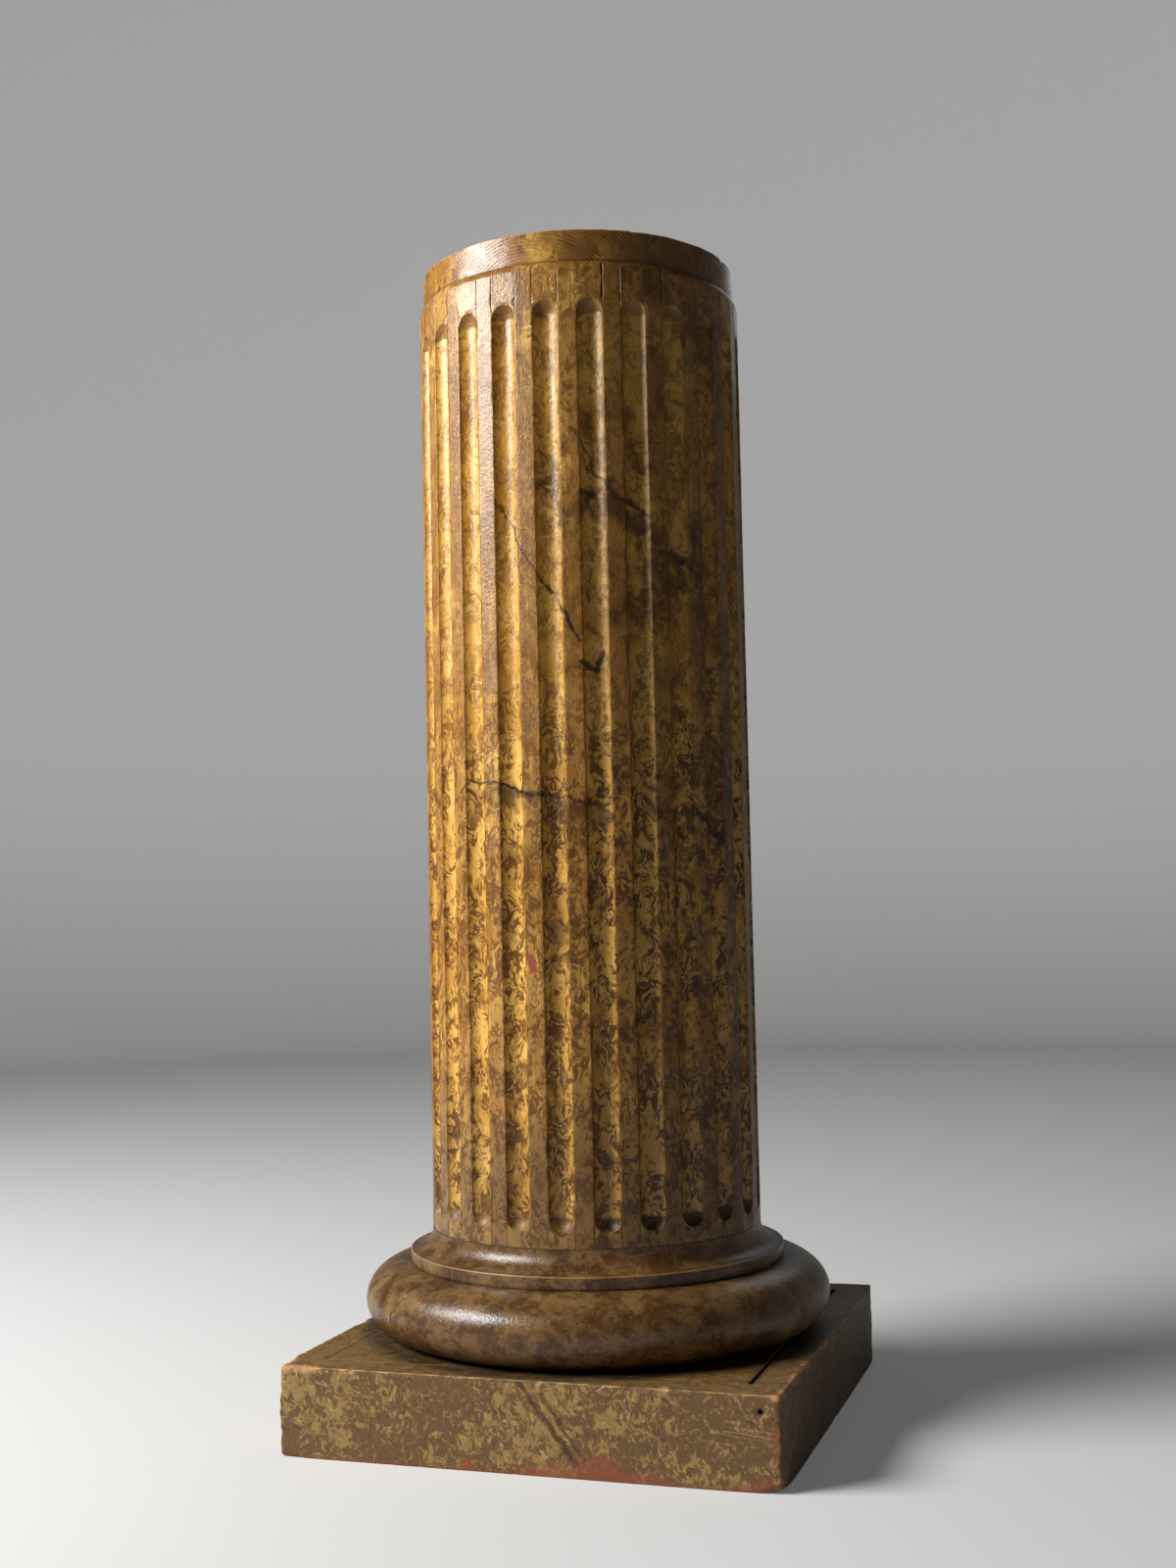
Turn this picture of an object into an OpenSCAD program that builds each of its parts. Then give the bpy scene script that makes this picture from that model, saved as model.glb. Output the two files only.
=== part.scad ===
// Pedestal column of painted wood: a hollow fluted shaft built of staves, closed by a
// turned cap disc, standing on a flare ring, a torus and a boarded plinth.
// Origin at the middle of the underside, +Z up, front of the plinth towards -Y.
// Angles round the column are counted from the front, growing towards +X.

/* [Plinth] */
// How far the plinth stands out past the torus on each side
plinth_margin = 4; // [0:0.5:40]
// Height of the plinth
plinth_h = 75; // [50:1:160]
// Thickness of the four mitred boards
board_t = 30; // [15:1:40]
// Thickness of the top panel let in between the boards
panel_t = 22; // [12:1:40]
// Shrinkage gap between the panel and the right-hand board
panel_gap = 2; // [0.5:0.5:6]

/* [Base mouldings] */
// How far the torus stands out past the fillet band
torus_out = 40.5; // [20:0.5:60]
// Flat left between the band and the round of the torus
torus_flat = 4.5; // [0.5:0.5:10]
// Height of the torus
torus_h = 62; // [40:1:90]
// Height of the fillet band
band_h = 11.5; // [6:0.5:20]
// How far the fillet band stands out past the foot of the flare
band_lip = 1.5; // [0.5:0.5:6]
// Radius of the concave flare between the band and the shaft
flare_r = 19; // [10:0.5:30]

/* [Shaft] */
// Radius of the shaft over the arrises of its staves
shaft_r = 150; // [125:1:190]
// Length of the staves
shaft_h = 848.5; // [400:0.5:1600]
// Thickness of the staves
stave_t = 25; // [15:1:50]
// Number of flutes
flutes = 24; // [16:2:26]
// Width of a flute's stave
flute_w = 22.8; // [16:0.1:24]
// Depth of the flutes
flute_depth = 7.2; // [4:0.1:10]
// Turn of the first flute from the front of the plinth
first_flute = 6.4; // [0:0.1:15]
// Plain length between the foot of the shaft and the flutes
flute_inset_bottom = 12.5; // [6:0.5:60]
// Plain length between the flutes and the top of the shaft
flute_inset_top = 34; // [20:0.5:90]

/* [Cap] */
// Thickness of the cap disc
cap_h = 28.5; // [15:0.5:60]
// How far the cap disc is set back from the shaft's face
cap_setback = 4; // [1:0.5:10]
// Length over which the staves round over to the cap
shoulder_h = 11; // [6:0.5:18]

/* [Hidden] */
$fn = 96;

// Levels and radii of the base, from the floor up
torus_z = plinth_h;
band_z = torus_z + torus_h;
flare_z = band_z + band_h;
shaft_z = flare_z + flare_r;
shaft_top = shaft_z + shaft_h;
band_r = shaft_r + flare_r + band_lip;
torus_r = band_r + torus_out;
torus_swell = torus_out - torus_flat;
torus_steps = 36;
plinth_half = torus_r + plinth_margin;
panel_half = plinth_half - board_t;
cap_r = shaft_r - cap_setback;

// Angles of the staves about the axis
pitch = 360 / flutes;
flute_half = asin(flute_w / 2 / shaft_r);
fillet_half = pitch / 2 - flute_half;
bore_r = shaft_r - stave_t;

// The flute's cove cuts a little past its stave's edges, so the fillets stand proud
cove_over = 0.2;
cove_half = flute_w / 2 + cove_over;
cove_r = (pow(cove_half, 2) + pow(flute_depth, 2)) / (2 * flute_depth);
flute_face = shaft_r * cos(flute_half);
cove_axis = flute_face - flute_depth + cove_r;

// The scooped ends are a shade shallower than the cove and meet it in a crisp step
scoop_step = 0.4;
scoop_r = cove_r - scoop_step;
scoop_rise = sqrt(pow(scoop_r, 2) - pow(cove_axis - flute_face, 2));
cove_bottom = shaft_z + flute_inset_bottom + scoop_rise;
cove_top = shaft_top - flute_inset_top - scoop_rise;

// The round-over at the top starts just outside the arrises and ends flush with the cap
shoulder_clear = 0.4;
shoulder_out = shaft_r + shoulder_clear;
shoulder_drop = shoulder_out - cap_r;
shoulder_r = (pow(shoulder_drop, 2) + pow(shoulder_h, 2)) / (2 * shoulder_drop);

// Colours
ochre = [0.62, 0.45, 0.22];
mauve = [0.42, 0.30, 0.27];
umber = [0.30, 0.20, 0.14];
olive = [0.52, 0.46, 0.30];

// Node names
function numbered(name, i) = str(name, "_", i < 9 ? "0" : "", i + 1);
BOARDS = ["plinth_front", "plinth_right", "plinth_back", "plinth_left"];

// Point at radius r and angle a, in plan
function polar(r, a) = [r * sin(a), -r * cos(a)];

// One mitred board of the plinth, in front; the others are turned from it
module plinth_board(side) {
    color(olive)
        rotate([0, 0, 90 * side])
            linear_extrude(plinth_h)
                polygon([
                    [-plinth_half, -plinth_half],
                    [plinth_half, -plinth_half],
                    [panel_half, -panel_half],
                    [-panel_half, -panel_half]
                ]);
}

// Top panel, flush with the boards, shrunk away from the right-hand one
module plinth_panel() {
    color(olive)
        translate([-panel_half, -panel_half, plinth_h - panel_t])
            cube([2 * panel_half - panel_gap, 2 * panel_half, panel_t]);
}

// Turned torus with a half-elliptical edge
module torus() {
    edge = [for (i = [0:torus_steps])
        let (a = -90 + 180 * i / torus_steps)
        [
            torus_r - torus_swell + torus_swell * cos(a),
            torus_z + torus_h / 2 * (1 + sin(a))
        ]];
    color(umber)
        rotate_extrude()
            polygon(concat([[0, torus_z]], edge, [[0, band_z]]));
}

// Ring with the fillet band and the concave flare that rises to the shaft's face
module flare_ring() {
    color(umber)
        rotate_extrude()
            difference() {
                union() {
                    translate([0, band_z])
                        square([band_r, band_h]);
                    translate([0, flare_z])
                        square([shaft_r + flare_r, flare_r]);
                }
                translate([shaft_r + flare_r, shaft_z])
                    circle(r = flare_r);
            }
}

// Turned disc that closes the shaft
module cap_disc() {
    color(umber)
        translate([0, 0, shaft_top])
            cylinder(r = cap_r, h = cap_h);
}

// Straight stave with a flat face, spanning the angle half to either side
module straight_stave(half) {
    translate([0, 0, shaft_z])
        linear_extrude(shaft_h)
            polygon([
                polar(shaft_r, -half),
                polar(shaft_r, half),
                polar(bore_r, half),
                polar(bore_r, -half)
            ]);
}

// Turned envelope that rounds the upper ends of the staves over to the cap
module shoulder_envelope() {
    shoulder_z = shaft_top - shoulder_h;
    centre_r = shoulder_out - shoulder_r;
    rotate_extrude()
        intersection() {
            translate([0, shaft_z - 1])
                square([shoulder_out + 1, shaft_h + 1]);
            union() {
                square([shoulder_out, shoulder_z]);
                square([max(centre_r, 1), shaft_top]);
                translate([centre_r, shoulder_z])
                    circle(r = shoulder_r);
            }
        }
}

// Round-bottomed cove with a scooped end at its foot and at its head
module cove() {
    translate([0, -cove_axis, 0]) {
        translate([0, 0, cove_bottom])
            cylinder(r = cove_r, h = cove_top - cove_bottom);
        for (z = [cove_bottom, cove_top])
            translate([0, 0, z])
                sphere(r = scoop_r);
    }
}

// Stave that carries flute i
module flute_stave(i) {
    color(ochre)
        rotate([0, 0, first_flute + i * pitch])
            difference() {
                intersection() {
                    straight_stave(flute_half);
                    shoulder_envelope();
                }
                cove();
            }
}

// Plain stave between flute i and the next one
module fillet_stave(i) {
    color(mauve)
        rotate([0, 0, first_flute + (i + 0.5) * pitch])
            intersection() {
                straight_stave(fillet_half);
                shoulder_envelope();
            }
}

for (side = [0:3])
    plinth_board(side);
plinth_panel();
torus();
flare_ring();
cap_disc();
for (i = [0:flutes - 1]) {
    flute_stave(i);
    fillet_stave(i);
}
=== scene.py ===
"""Finishes the fluted pedestal column: worn surfaces, imitation-marble paint, stage and camera."""
import math

import bmesh
import bpy
import mathutils
import numpy as np
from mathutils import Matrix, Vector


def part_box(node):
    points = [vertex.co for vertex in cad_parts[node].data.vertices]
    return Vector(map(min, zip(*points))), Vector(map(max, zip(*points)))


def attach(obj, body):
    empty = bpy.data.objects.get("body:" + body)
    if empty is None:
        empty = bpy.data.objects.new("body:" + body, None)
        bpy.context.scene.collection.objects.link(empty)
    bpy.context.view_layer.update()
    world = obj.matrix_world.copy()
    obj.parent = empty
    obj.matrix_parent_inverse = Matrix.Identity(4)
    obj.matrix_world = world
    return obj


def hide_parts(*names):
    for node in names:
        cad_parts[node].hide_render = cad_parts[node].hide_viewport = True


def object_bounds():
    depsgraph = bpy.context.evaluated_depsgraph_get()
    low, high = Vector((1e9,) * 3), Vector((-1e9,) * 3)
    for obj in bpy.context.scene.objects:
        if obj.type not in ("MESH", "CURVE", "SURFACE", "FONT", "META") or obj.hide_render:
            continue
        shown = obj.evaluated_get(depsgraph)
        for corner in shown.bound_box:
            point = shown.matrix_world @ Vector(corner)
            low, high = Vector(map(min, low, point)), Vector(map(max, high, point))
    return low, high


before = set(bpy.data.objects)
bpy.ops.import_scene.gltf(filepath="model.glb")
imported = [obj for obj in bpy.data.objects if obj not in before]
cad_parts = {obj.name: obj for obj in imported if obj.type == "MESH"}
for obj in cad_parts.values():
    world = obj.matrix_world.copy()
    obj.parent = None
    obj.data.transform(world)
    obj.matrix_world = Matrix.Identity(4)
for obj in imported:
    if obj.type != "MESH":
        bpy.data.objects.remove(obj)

bl_info = {
    "name": "Fluted pedestal column",
    "version": (1, 0, 0),
    "blender": (4, 5, 0),
    "location": "3D View > Sidebar > Column",
    "description": "Builds the worn surfaces and the imitation-marble paint of a fluted wooden column",
    "category": "Object",
}

MM = 0.001
BODY = "root"
# Distance within which vertices are merged, smallest difference that counts, and sharpest smoothed angle
MERGE = 2e-6
TOUCH = 1e-7
SHARP = math.radians(38)
# Depth within which a stave's vertices count as lying on its rim
RIM_DEPTH = 4 * MM
# Steps round the axis of the torus and the ring, and of the cap; steps along a board or up a stave
TURN_STEPS = 300
CAP_STEPS = 420
LONG_STEPS = 270
FLUTES = sum(name.startswith("flute_stave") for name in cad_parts)
BOARDS = ("plinth_front", "plinth_right", "plinth_back", "plinth_left")


# Sizes read from the frame


def node_points(name):
    """Vertices of a node of the frame as an array of shape (n, 3)."""
    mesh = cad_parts[name].data
    points = np.empty(3 * len(mesh.vertices))
    mesh.vertices.foreach_get("co", points)
    return points.reshape(-1, 3)


def angle_and_radius(points):
    """Angle about the axis, from the front towards +X, and distance from the axis."""
    return np.arctan2(points[:, 0], -points[:, 1]), np.hypot(points[:, 0], points[:, 1])


def stave_measures(name):
    """Middle angle and half angle of a stave, from its vertices on the shaft's outer radius."""
    angle, radius = angle_and_radius(node_points(name))
    rim = np.unwrap(np.sort(angle[radius > radius.max() - RIM_DEPTH]))
    return (rim.min() + rim.max()) / 2, (rim.max() - rim.min()) / 2


LOW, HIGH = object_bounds()
PLINTH_HALF = HIGH.x
FRONT_LOW, FRONT_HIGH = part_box("plinth_front")
PLINTH_H = FRONT_HIGH.z
BOARD_T = FRONT_HIGH.y - FRONT_LOW.y
BASE_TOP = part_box("flare_ring")[1].z
SHAFT_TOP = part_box("cap_disc")[0].z
STAVE_RADII = angle_and_radius(node_points("fillet_stave_01"))[1]
SHAFT_R = STAVE_RADII.max()
BORE_R = STAVE_RADII.min()
CAP_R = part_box("cap_disc")[1].x
FLUTE_HALF = stave_measures("flute_stave_01")[1]
FILLET_HALF = math.pi / FLUTES - FLUTE_HALF


def paint(red, green, blue):
    """Linear colour of a paint given as display values from 0 to 255."""
    shares = [value / 255 for value in (red, green, blue)]
    return tuple(s / 12.92 if s <= 0.04045 else ((s + 0.055) / 1.055) ** 2.4 for s in shares)


def length(name, description, default):
    """A length property in metres."""
    return bpy.props.FloatProperty(
        name=name, description=description, default=default, min=0.0, subtype="DISTANCE", unit="LENGTH"
    )


def amount(name, description, default):
    """A plain number property."""
    return bpy.props.FloatProperty(name=name, description=description, default=default, min=0.0)


def colour(name, description, default):
    """A colour property."""
    return bpy.props.FloatVectorProperty(
        name=name, description=description, default=default, size=3, min=0.0, max=1.0, subtype="COLOR"
    )


def angle(name, description, degrees):
    """An angle property, given in degrees."""
    return bpy.props.FloatProperty(
        name=name, description=description, default=math.radians(degrees), subtype="ANGLE", unit="ROTATION"
    )


class ColumnSizes(bpy.types.PropertyGroup):
    """Sizes of the carving, the rounding and the wear."""

    flute_depth: length("Flute depth", "Depth of the cove in the middle of a flute", 7.2 * MM)
    flute_foot: length("Flute foot", "Plain length below the flutes", 12.5 * MM)
    flute_head: length("Flute head", "Plain length above the flutes", 34 * MM)
    cove_over: length("Cove over", "How far the cove cuts past its stave's edge", 0.2 * MM)
    scoop_step: length("Scoop step", "Step where the scooped ends meet the cove", 0.4 * MM)
    shoulder: length("Shoulder", "Length over which the staves round over to the cap", 11 * MM)
    arris: length("Arris", "Rounding of the staves' edges", 0.45 * MM)
    joint: length("Joint", "How far each stave draws back at a joint", 0.08 * MM)
    torus_flat: length("Torus flat", "Flat left between the band and the round of the torus", 4.5 * MM)
    flare: length("Flare", "Radius of the concave flare", 19 * MM)
    edge: length("Edge", "Rounding of the plinth's long edges", 1.3 * MM)
    corner: length("Corner", "Rounding of the plinth's corners", 4.2 * MM)
    nail: length("Nail hole", "Radius of the nail hole in the front board", 2.1 * MM)


class ColumnColours(bpy.types.PropertyGroup):
    """Colours of the paint, the ground under it and the bare wood."""

    ochre: colour("Ochre", "Ground colour of the flutes", paint(196, 142, 56))
    gold: colour("Gold", "Light flecks", paint(240, 192, 98))
    brown: colour("Brown", "Dark mottling", paint(66, 36, 8))
    mauve: colour("Mauve", "Mauve-brown glaze on the fillets", paint(138, 94, 44))
    vein: colour("Vein", "Dark veins", paint(36, 18, 6))
    sienna: colour("Sienna", "Warm curls and clouds", paint(108, 66, 15))
    umber: colour("Umber", "Ground colour of the torus and the flare", paint(116, 86, 50))
    olive: colour("Olive", "Light patches of the plinth", paint(160, 128, 74))
    stone: colour("Stone", "Grey-brown ground of the plinth", paint(104, 77, 44))
    red: colour("Red ground", "Red-brown coat under the marbling", paint(142, 72, 46))
    bare: colour("Bare wood", "Wood where the paint is knocked off", paint(186, 140, 90))
    # Grime and shade: one colour for dirt, dark joints and painted shade alike
    grime: colour("Grime", "Dirt in the hollows", paint(38, 24, 12))


class StageSettings(bpy.types.PropertyGroup):
    """Camera, lamps and floor."""

    camera_turn: angle("Camera turn", "Direction of the camera from the front, towards +X", 17.76)
    camera_distance: length("Camera distance", "Distance of the camera from the column's axis", 1.722)
    camera_height: length("Camera height", "Height of the camera over the floor", 0.4547)
    camera_pitch: angle("Camera pitch", "Upward tilt of the camera", 3.785)
    camera_roll: angle("Camera roll", "Sideways tilt of the camera", -1.185)
    camera_lens: amount("Lens", "Focal length in millimetres on a 36 mm frame", 42.43)
    floor: colour("Floor", "Colour of the floor", (0.66, 0.66, 0.65))
    wall: colour("Wall", "Colour of the backdrop", (0.13, 0.13, 0.127))
    glow: amount("Glow", "How much the backdrop is lifted", 0.325)
    floor_glow: amount("Floor glow", "How much the floor is lifted", 0.08)
    key: amount("Key", "Power of the key lamp in watts", 156.0)
    fill: amount("Fill", "Strength of the all-round light", 0.025)


# Surfaces


def ripple(coords, wavelength, seed, waves=7):
    """Sum of sine waves in random directions over the last axis of coords, about -1 to 1."""
    rng = np.random.default_rng(seed)
    directions = rng.normal(size=(waves, coords.shape[-1]))
    directions /= np.linalg.norm(directions, axis=1, keepdims=True)
    lengths = wavelength * rng.uniform(0.6, 1.7, waves)
    phases = rng.uniform(0, 2 * np.pi, waves)
    return np.sin(2 * np.pi * (coords @ directions.T) / lengths + phases).mean(axis=-1) * math.sqrt(waves)


def dents(coords, wavelength, seed):
    """The ripple lifted above 0, from 0 to 2, for drawing surfaces inwards only."""
    return np.clip(1 + ripple(coords, wavelength, seed), 0, 2)


def line_ripple(line, wavelength, seed):
    """The ripple along one coordinate."""
    return ripple(np.asarray(line)[..., None], wavelength, seed)


def tents(line, places, widths, depths):
    """Sum of tent-shaped bumps of the given places, half widths and depths along a line."""
    reach = 1 - np.abs(np.asarray(line)[..., None] - places) / widths
    return (np.clip(reach, 0, None) ** 0.7 * depths).sum(axis=-1)


def random_nicks(line, count, width, depth, seed):
    """Tent-shaped nicks at random places along a line."""
    rng = np.random.default_rng(seed)
    places = rng.uniform(np.min(line), np.max(line), count)
    widths = width * rng.uniform(0.4, 1.6, count)
    return tents(line, places, widths, depth * rng.uniform(0.2, 1, count) ** 2)


def smoothstep(value, low, high):
    """0 below low, 1 above high, and a smooth S between."""
    share = np.clip((value - low) / (high - low), 0, 1)
    return share * share * (3 - 2 * share)


def near(distance, full, none):
    """1 within the first distance, 0 beyond the second, and a smooth S between."""
    return 1 - smoothstep(distance, full, none)


def bell(distance, width):
    """1 at no distance, and a bell curve down to nothing either side."""
    return np.exp(-((distance / width) ** 2))


def fade(distance, width):
    """1 at no distance or less, falling to a third for every width."""
    return np.exp(-np.clip(distance, 0, None) / width)


def around(radius, height, turn):
    """Points at a radius, height and angle about the column's axis."""
    radius, height, turn = np.broadcast_arrays(radius, height, turn)
    return np.stack([radius * np.sin(turn), -radius * np.cos(turn), height], axis=-1)


def turned(points, turn):
    """Points turned by an angle about the column's axis."""
    c, s = math.cos(turn), math.sin(turn)
    return points @ np.array([[c, s, 0], [-s, c, 0], [0, 0, 1]])


def grid_faces(rows, columns):
    """Quads over a grid of points whose columns run round in a loop."""
    index = np.arange(rows * columns).reshape(rows, columns)
    ahead = np.roll(index, -1, axis=1)
    return np.stack([index[:-1], ahead[:-1], ahead[1:], index[1:]], axis=-1).reshape(-1, 4).tolist()


def piece(name, points, material, node, masks, capped=False):
    """Closed mesh over a grid of points of shape (rows, columns, 3) whose columns run round in a loop.
    The first and last rows are poles, or are closed by one flat face each if capped."""
    rows, columns = points.shape[:2]
    faces = grid_faces(rows, columns)
    if capped:
        faces += [list(range(columns))[::-1], list(range((rows - 1) * columns, rows * columns))]
    mesh = bpy.data.meshes.new(name)
    mesh.from_pydata(points.reshape(-1, 3).tolist(), [], faces)
    for mask, values in masks.items():
        layer = mesh.attributes.new(mask, "FLOAT", "POINT")
        layer.data.foreach_set("value", np.broadcast_to(values, (rows, columns)).astype(np.float32).ravel())
    shell = bmesh.new()
    shell.from_mesh(mesh)
    bmesh.ops.remove_doubles(shell, verts=shell.verts, dist=MERGE)
    bmesh.ops.dissolve_degenerate(shell, edges=shell.edges, dist=TOUCH)
    bmesh.ops.recalc_face_normals(shell, faces=shell.faces)
    shell.to_mesh(mesh)
    shell.free()
    mesh.shade_smooth()
    mesh.set_sharp_from_angle(angle=SHARP)
    mesh.materials.append(material)
    made = bpy.data.objects.new(name, mesh)
    bpy.context.scene.collection.objects.link(made)
    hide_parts(node)
    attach(made, BODY)


# Staves


# Angle either way over which the points across a cove are spread, and the softness of its lip
COVE_BEND = 0.42 * math.pi
COVE_LIP = 0.25 * MM
# Places of the points on the flat beside a scoop, as shares of its width, and how much of a flute stave's
# plain ends the middle points take up
FLAT_STEPS = np.array([0.5, 0.92])
PLAIN_SHARE = 0.75
# Points of a fillet's arris: how far in from the side, and how far below the face, in shares of the bevel
BEVEL_IN = np.array([0, 0.35, 1])
BEVEL_DOWN = np.array([1, 0.45, 0.12])
# How far in from the side a fillet's flat face begins, in bevels
FACE_IN = 2.6
# Joints that have opened: number of the stave before it (flutes count even, fillets odd), from, to, width
OPEN_JOINTS = (
    (2, 0.978, 1.0165, 1.5 * MM),
    (5, 0.980, 1.0165, 1.4 * MM),
    (47, 0.985, 1.0165, 0.5 * MM),
    (1, 0.1675, 0.2, 0.5 * MM),
    (17, 0.96, 1.0165, 0.9 * MM),
    (31, 0.1675, 0.24, 0.8 * MM),
)


def shoulder_limit(height, sizes):
    """Greatest radius of the staves at a height: an arc over the shoulder, free below it."""
    out = SHAFT_R + 0.4 * MM
    drop = out - CAP_R
    radius = (drop**2 + sizes.shoulder**2) / (2 * drop)
    rise = np.clip(height - (SHAFT_TOP - sizes.shoulder), 0, None)
    return out - radius + np.sqrt(radius**2 - rise**2)


def draw_back(height, stave, side, sizes):
    """How far a stave's side draws back from its joint at each height, with the joints that have opened."""
    seed = 1000 + 2 * stave + side
    gap = sizes.joint * (1 + 0.8 * line_ripple(height, 0.16, seed))
    for joint, low, high, width in OPEN_JOINTS:
        if stave == (joint if side > 0 else (joint + 1) % (2 * FLUTES)):
            ends = smoothstep(height, low, low + 6 * MM) * smoothstep(-height, -high, -high + 1.5 * MM)
            gap = gap + width / 2 * ends * (1 + 0.35 * line_ripple(height, 0.02, seed + 7))
    return gap


def stave_rows(sizes, *below):
    """Heights of a stave's rows: those given for the part below the shoulder, and close ones over it."""
    shoulder = np.linspace(SHAFT_TOP - sizes.shoulder, SHAFT_TOP - 0.5 * MM, 9)
    rows = np.concatenate([*below, shoulder, [SHAFT_TOP - 0.2 * MM, SHAFT_TOP]])
    return np.unique(rows.round(7))[:, None]


class Cove:
    """The flute's cove: a round hollow with a ball-shaped scoop at each end."""

    def __init__(self, sizes, seed):
        half_width = SHAFT_R * math.sin(FLUTE_HALF) + sizes.cove_over
        self.face = SHAFT_R * math.cos(FLUTE_HALF)
        self.radius = (half_width**2 + sizes.flute_depth**2) / (2 * sizes.flute_depth)
        self.offset = self.radius - sizes.flute_depth
        self.ball = self.radius - sizes.scoop_step
        self.mouth = math.sqrt(self.ball**2 - self.offset**2)
        self.low_tip = BASE_TOP + sizes.flute_foot
        self.high_tip = SHAFT_TOP - sizes.flute_head
        self.low = self.low_tip + self.mouth
        self.high = self.high_tip - self.mouth
        self.seed = seed

    def rows(self, sizes):
        """Heights of the rows: close over the scoops and the shoulder, wide along the flute."""
        arc = self.mouth * np.sin(np.linspace(0, math.pi / 2, 13))
        crease = 0.06 * MM
        return stave_rows(
            sizes,
            np.linspace(BASE_TOP, self.low_tip, 7),
            self.low - arc,
            self.high + arc,
            np.linspace(self.low + crease, self.low + 12 * MM, 6),
            np.linspace(self.low + 16 * MM, self.high - 16 * MM, 165),
            np.linspace(self.high - 12 * MM, self.high - crease, 6),
            np.linspace(self.high_tip, SHAFT_TOP - sizes.shoulder, 8),
        )

    def past_end(self, height):
        """How far a height lies beyond the straight part of the flute."""
        return np.clip(np.maximum(self.low - height, height - self.high), 0, None)

    def half_width(self, height, side_limit):
        """Half width of the flute's mouth: the stave's own edge, then the ball's circle, then nothing."""
        past = self.past_end(height)
        circle = np.sqrt(np.clip(self.mouth**2 - past**2, 0, None))
        return np.where(past > 0, np.minimum(circle, side_limit), side_limit)

    def depth(self, across, height):
        """Depth below the flat face: the cove's circle, or the ball's, less its offset, with a soft lip."""
        past = self.past_end(height)
        radius = np.where(past > 0, self.ball, self.radius)
        hollow = np.sqrt(np.clip(radius**2 - across**2 - past**2, 0, None)) - self.offset
        hollow = np.clip(hollow, 0, None)
        wander = 0.12 * MM * line_ripple(height, 0.11, self.seed) * smoothstep(hollow, 0, 4 * MM)
        return np.clip(hollow - COVE_LIP * (1 - np.exp(-hollow / COVE_LIP)) + wander, 0, None)


def flute_stave(number, sizes, material):
    """Coved stave: across the face x runs in equal steps of angle over the cove, and y is the flat face
    less the cove's depth; the sides run straight to the bore."""
    cove = Cove(sizes, 40 + number)
    height = cove.rows(sizes)
    past = cove.past_end(height)
    straight = (past == 0) * 1.0
    slope = math.tan(FLUTE_HALF)
    edge_y = cove.face - cove.depth(np.full_like(height, cove.face * slope), height) * straight
    limit = edge_y * slope
    sides = [limit - draw_back(height, 2 * number, side, sizes) for side in (-1, 1)]
    left, right = sides
    wander = 1 - 0.012 * (1 + line_ripple(height, 0.09, 80 + number)) * (1 - straight)
    mouth = cove.half_width(height, limit) * wander
    plain = past > cove.mouth + TOUCH
    rim = np.where(plain, PLAIN_SHARE * limit, mouth)
    share = np.linspace(-1, 1, 29)
    inner = rim * np.where(plain, share, np.sin(share * COVE_BEND) / math.sin(COVE_BEND))
    inner = np.clip(inner, -left, right)
    y_inner = cove.face - np.where(plain, 0, cove.depth(inner, height))
    flat_left, flat_right = (
        np.maximum(rim + (side - rim) * FLAT_STEPS, np.minimum(rim, side)) for side in sides
    )
    corner_y = edge_y - sizes.arris * 0.6 * (1 - straight)
    flat_y = np.repeat(edge_y, 2, axis=1)
    x = np.concatenate([-left, -flat_left[:, ::-1], inner, flat_right, right], axis=1)
    y = np.concatenate([corner_y, flat_y, y_inner, flat_y, corner_y], axis=1)
    y = y - np.abs(0.05 * MM * line_ripple(height, 0.2, 300 + number))
    hollow = ~(plain | (np.abs(x) > mouth + TOUCH)) * smoothstep(cove.face - y, 0.05 * MM, 1.2 * MM)
    ball = (past > 0) & (past < cove.mouth)
    # Darker along the crease where each scoop meets the cove, a dark joint, and towards the cove's edges
    crease = bell(np.minimum(np.abs(height - cove.low), np.abs(height - cove.high)), 0.7 * MM) * hollow
    grime = smoothstep(np.abs(x) / limit, 0.8, 1.0) * hollow
    masks = {
        "hollow": hollow, "pocket": ball * hollow, "grime": np.clip(0.5 * grime + 0.9 * crease, 0, 1),
        "wear": 0.5 * bell(np.abs(x) - mouth, 0.5 * MM) * ball,
    }
    name = f"flute_stave_{number + 1:02d}"
    close_stave(name, FLUTE_HALF, height, x, y, sizes, material, masks)


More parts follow.
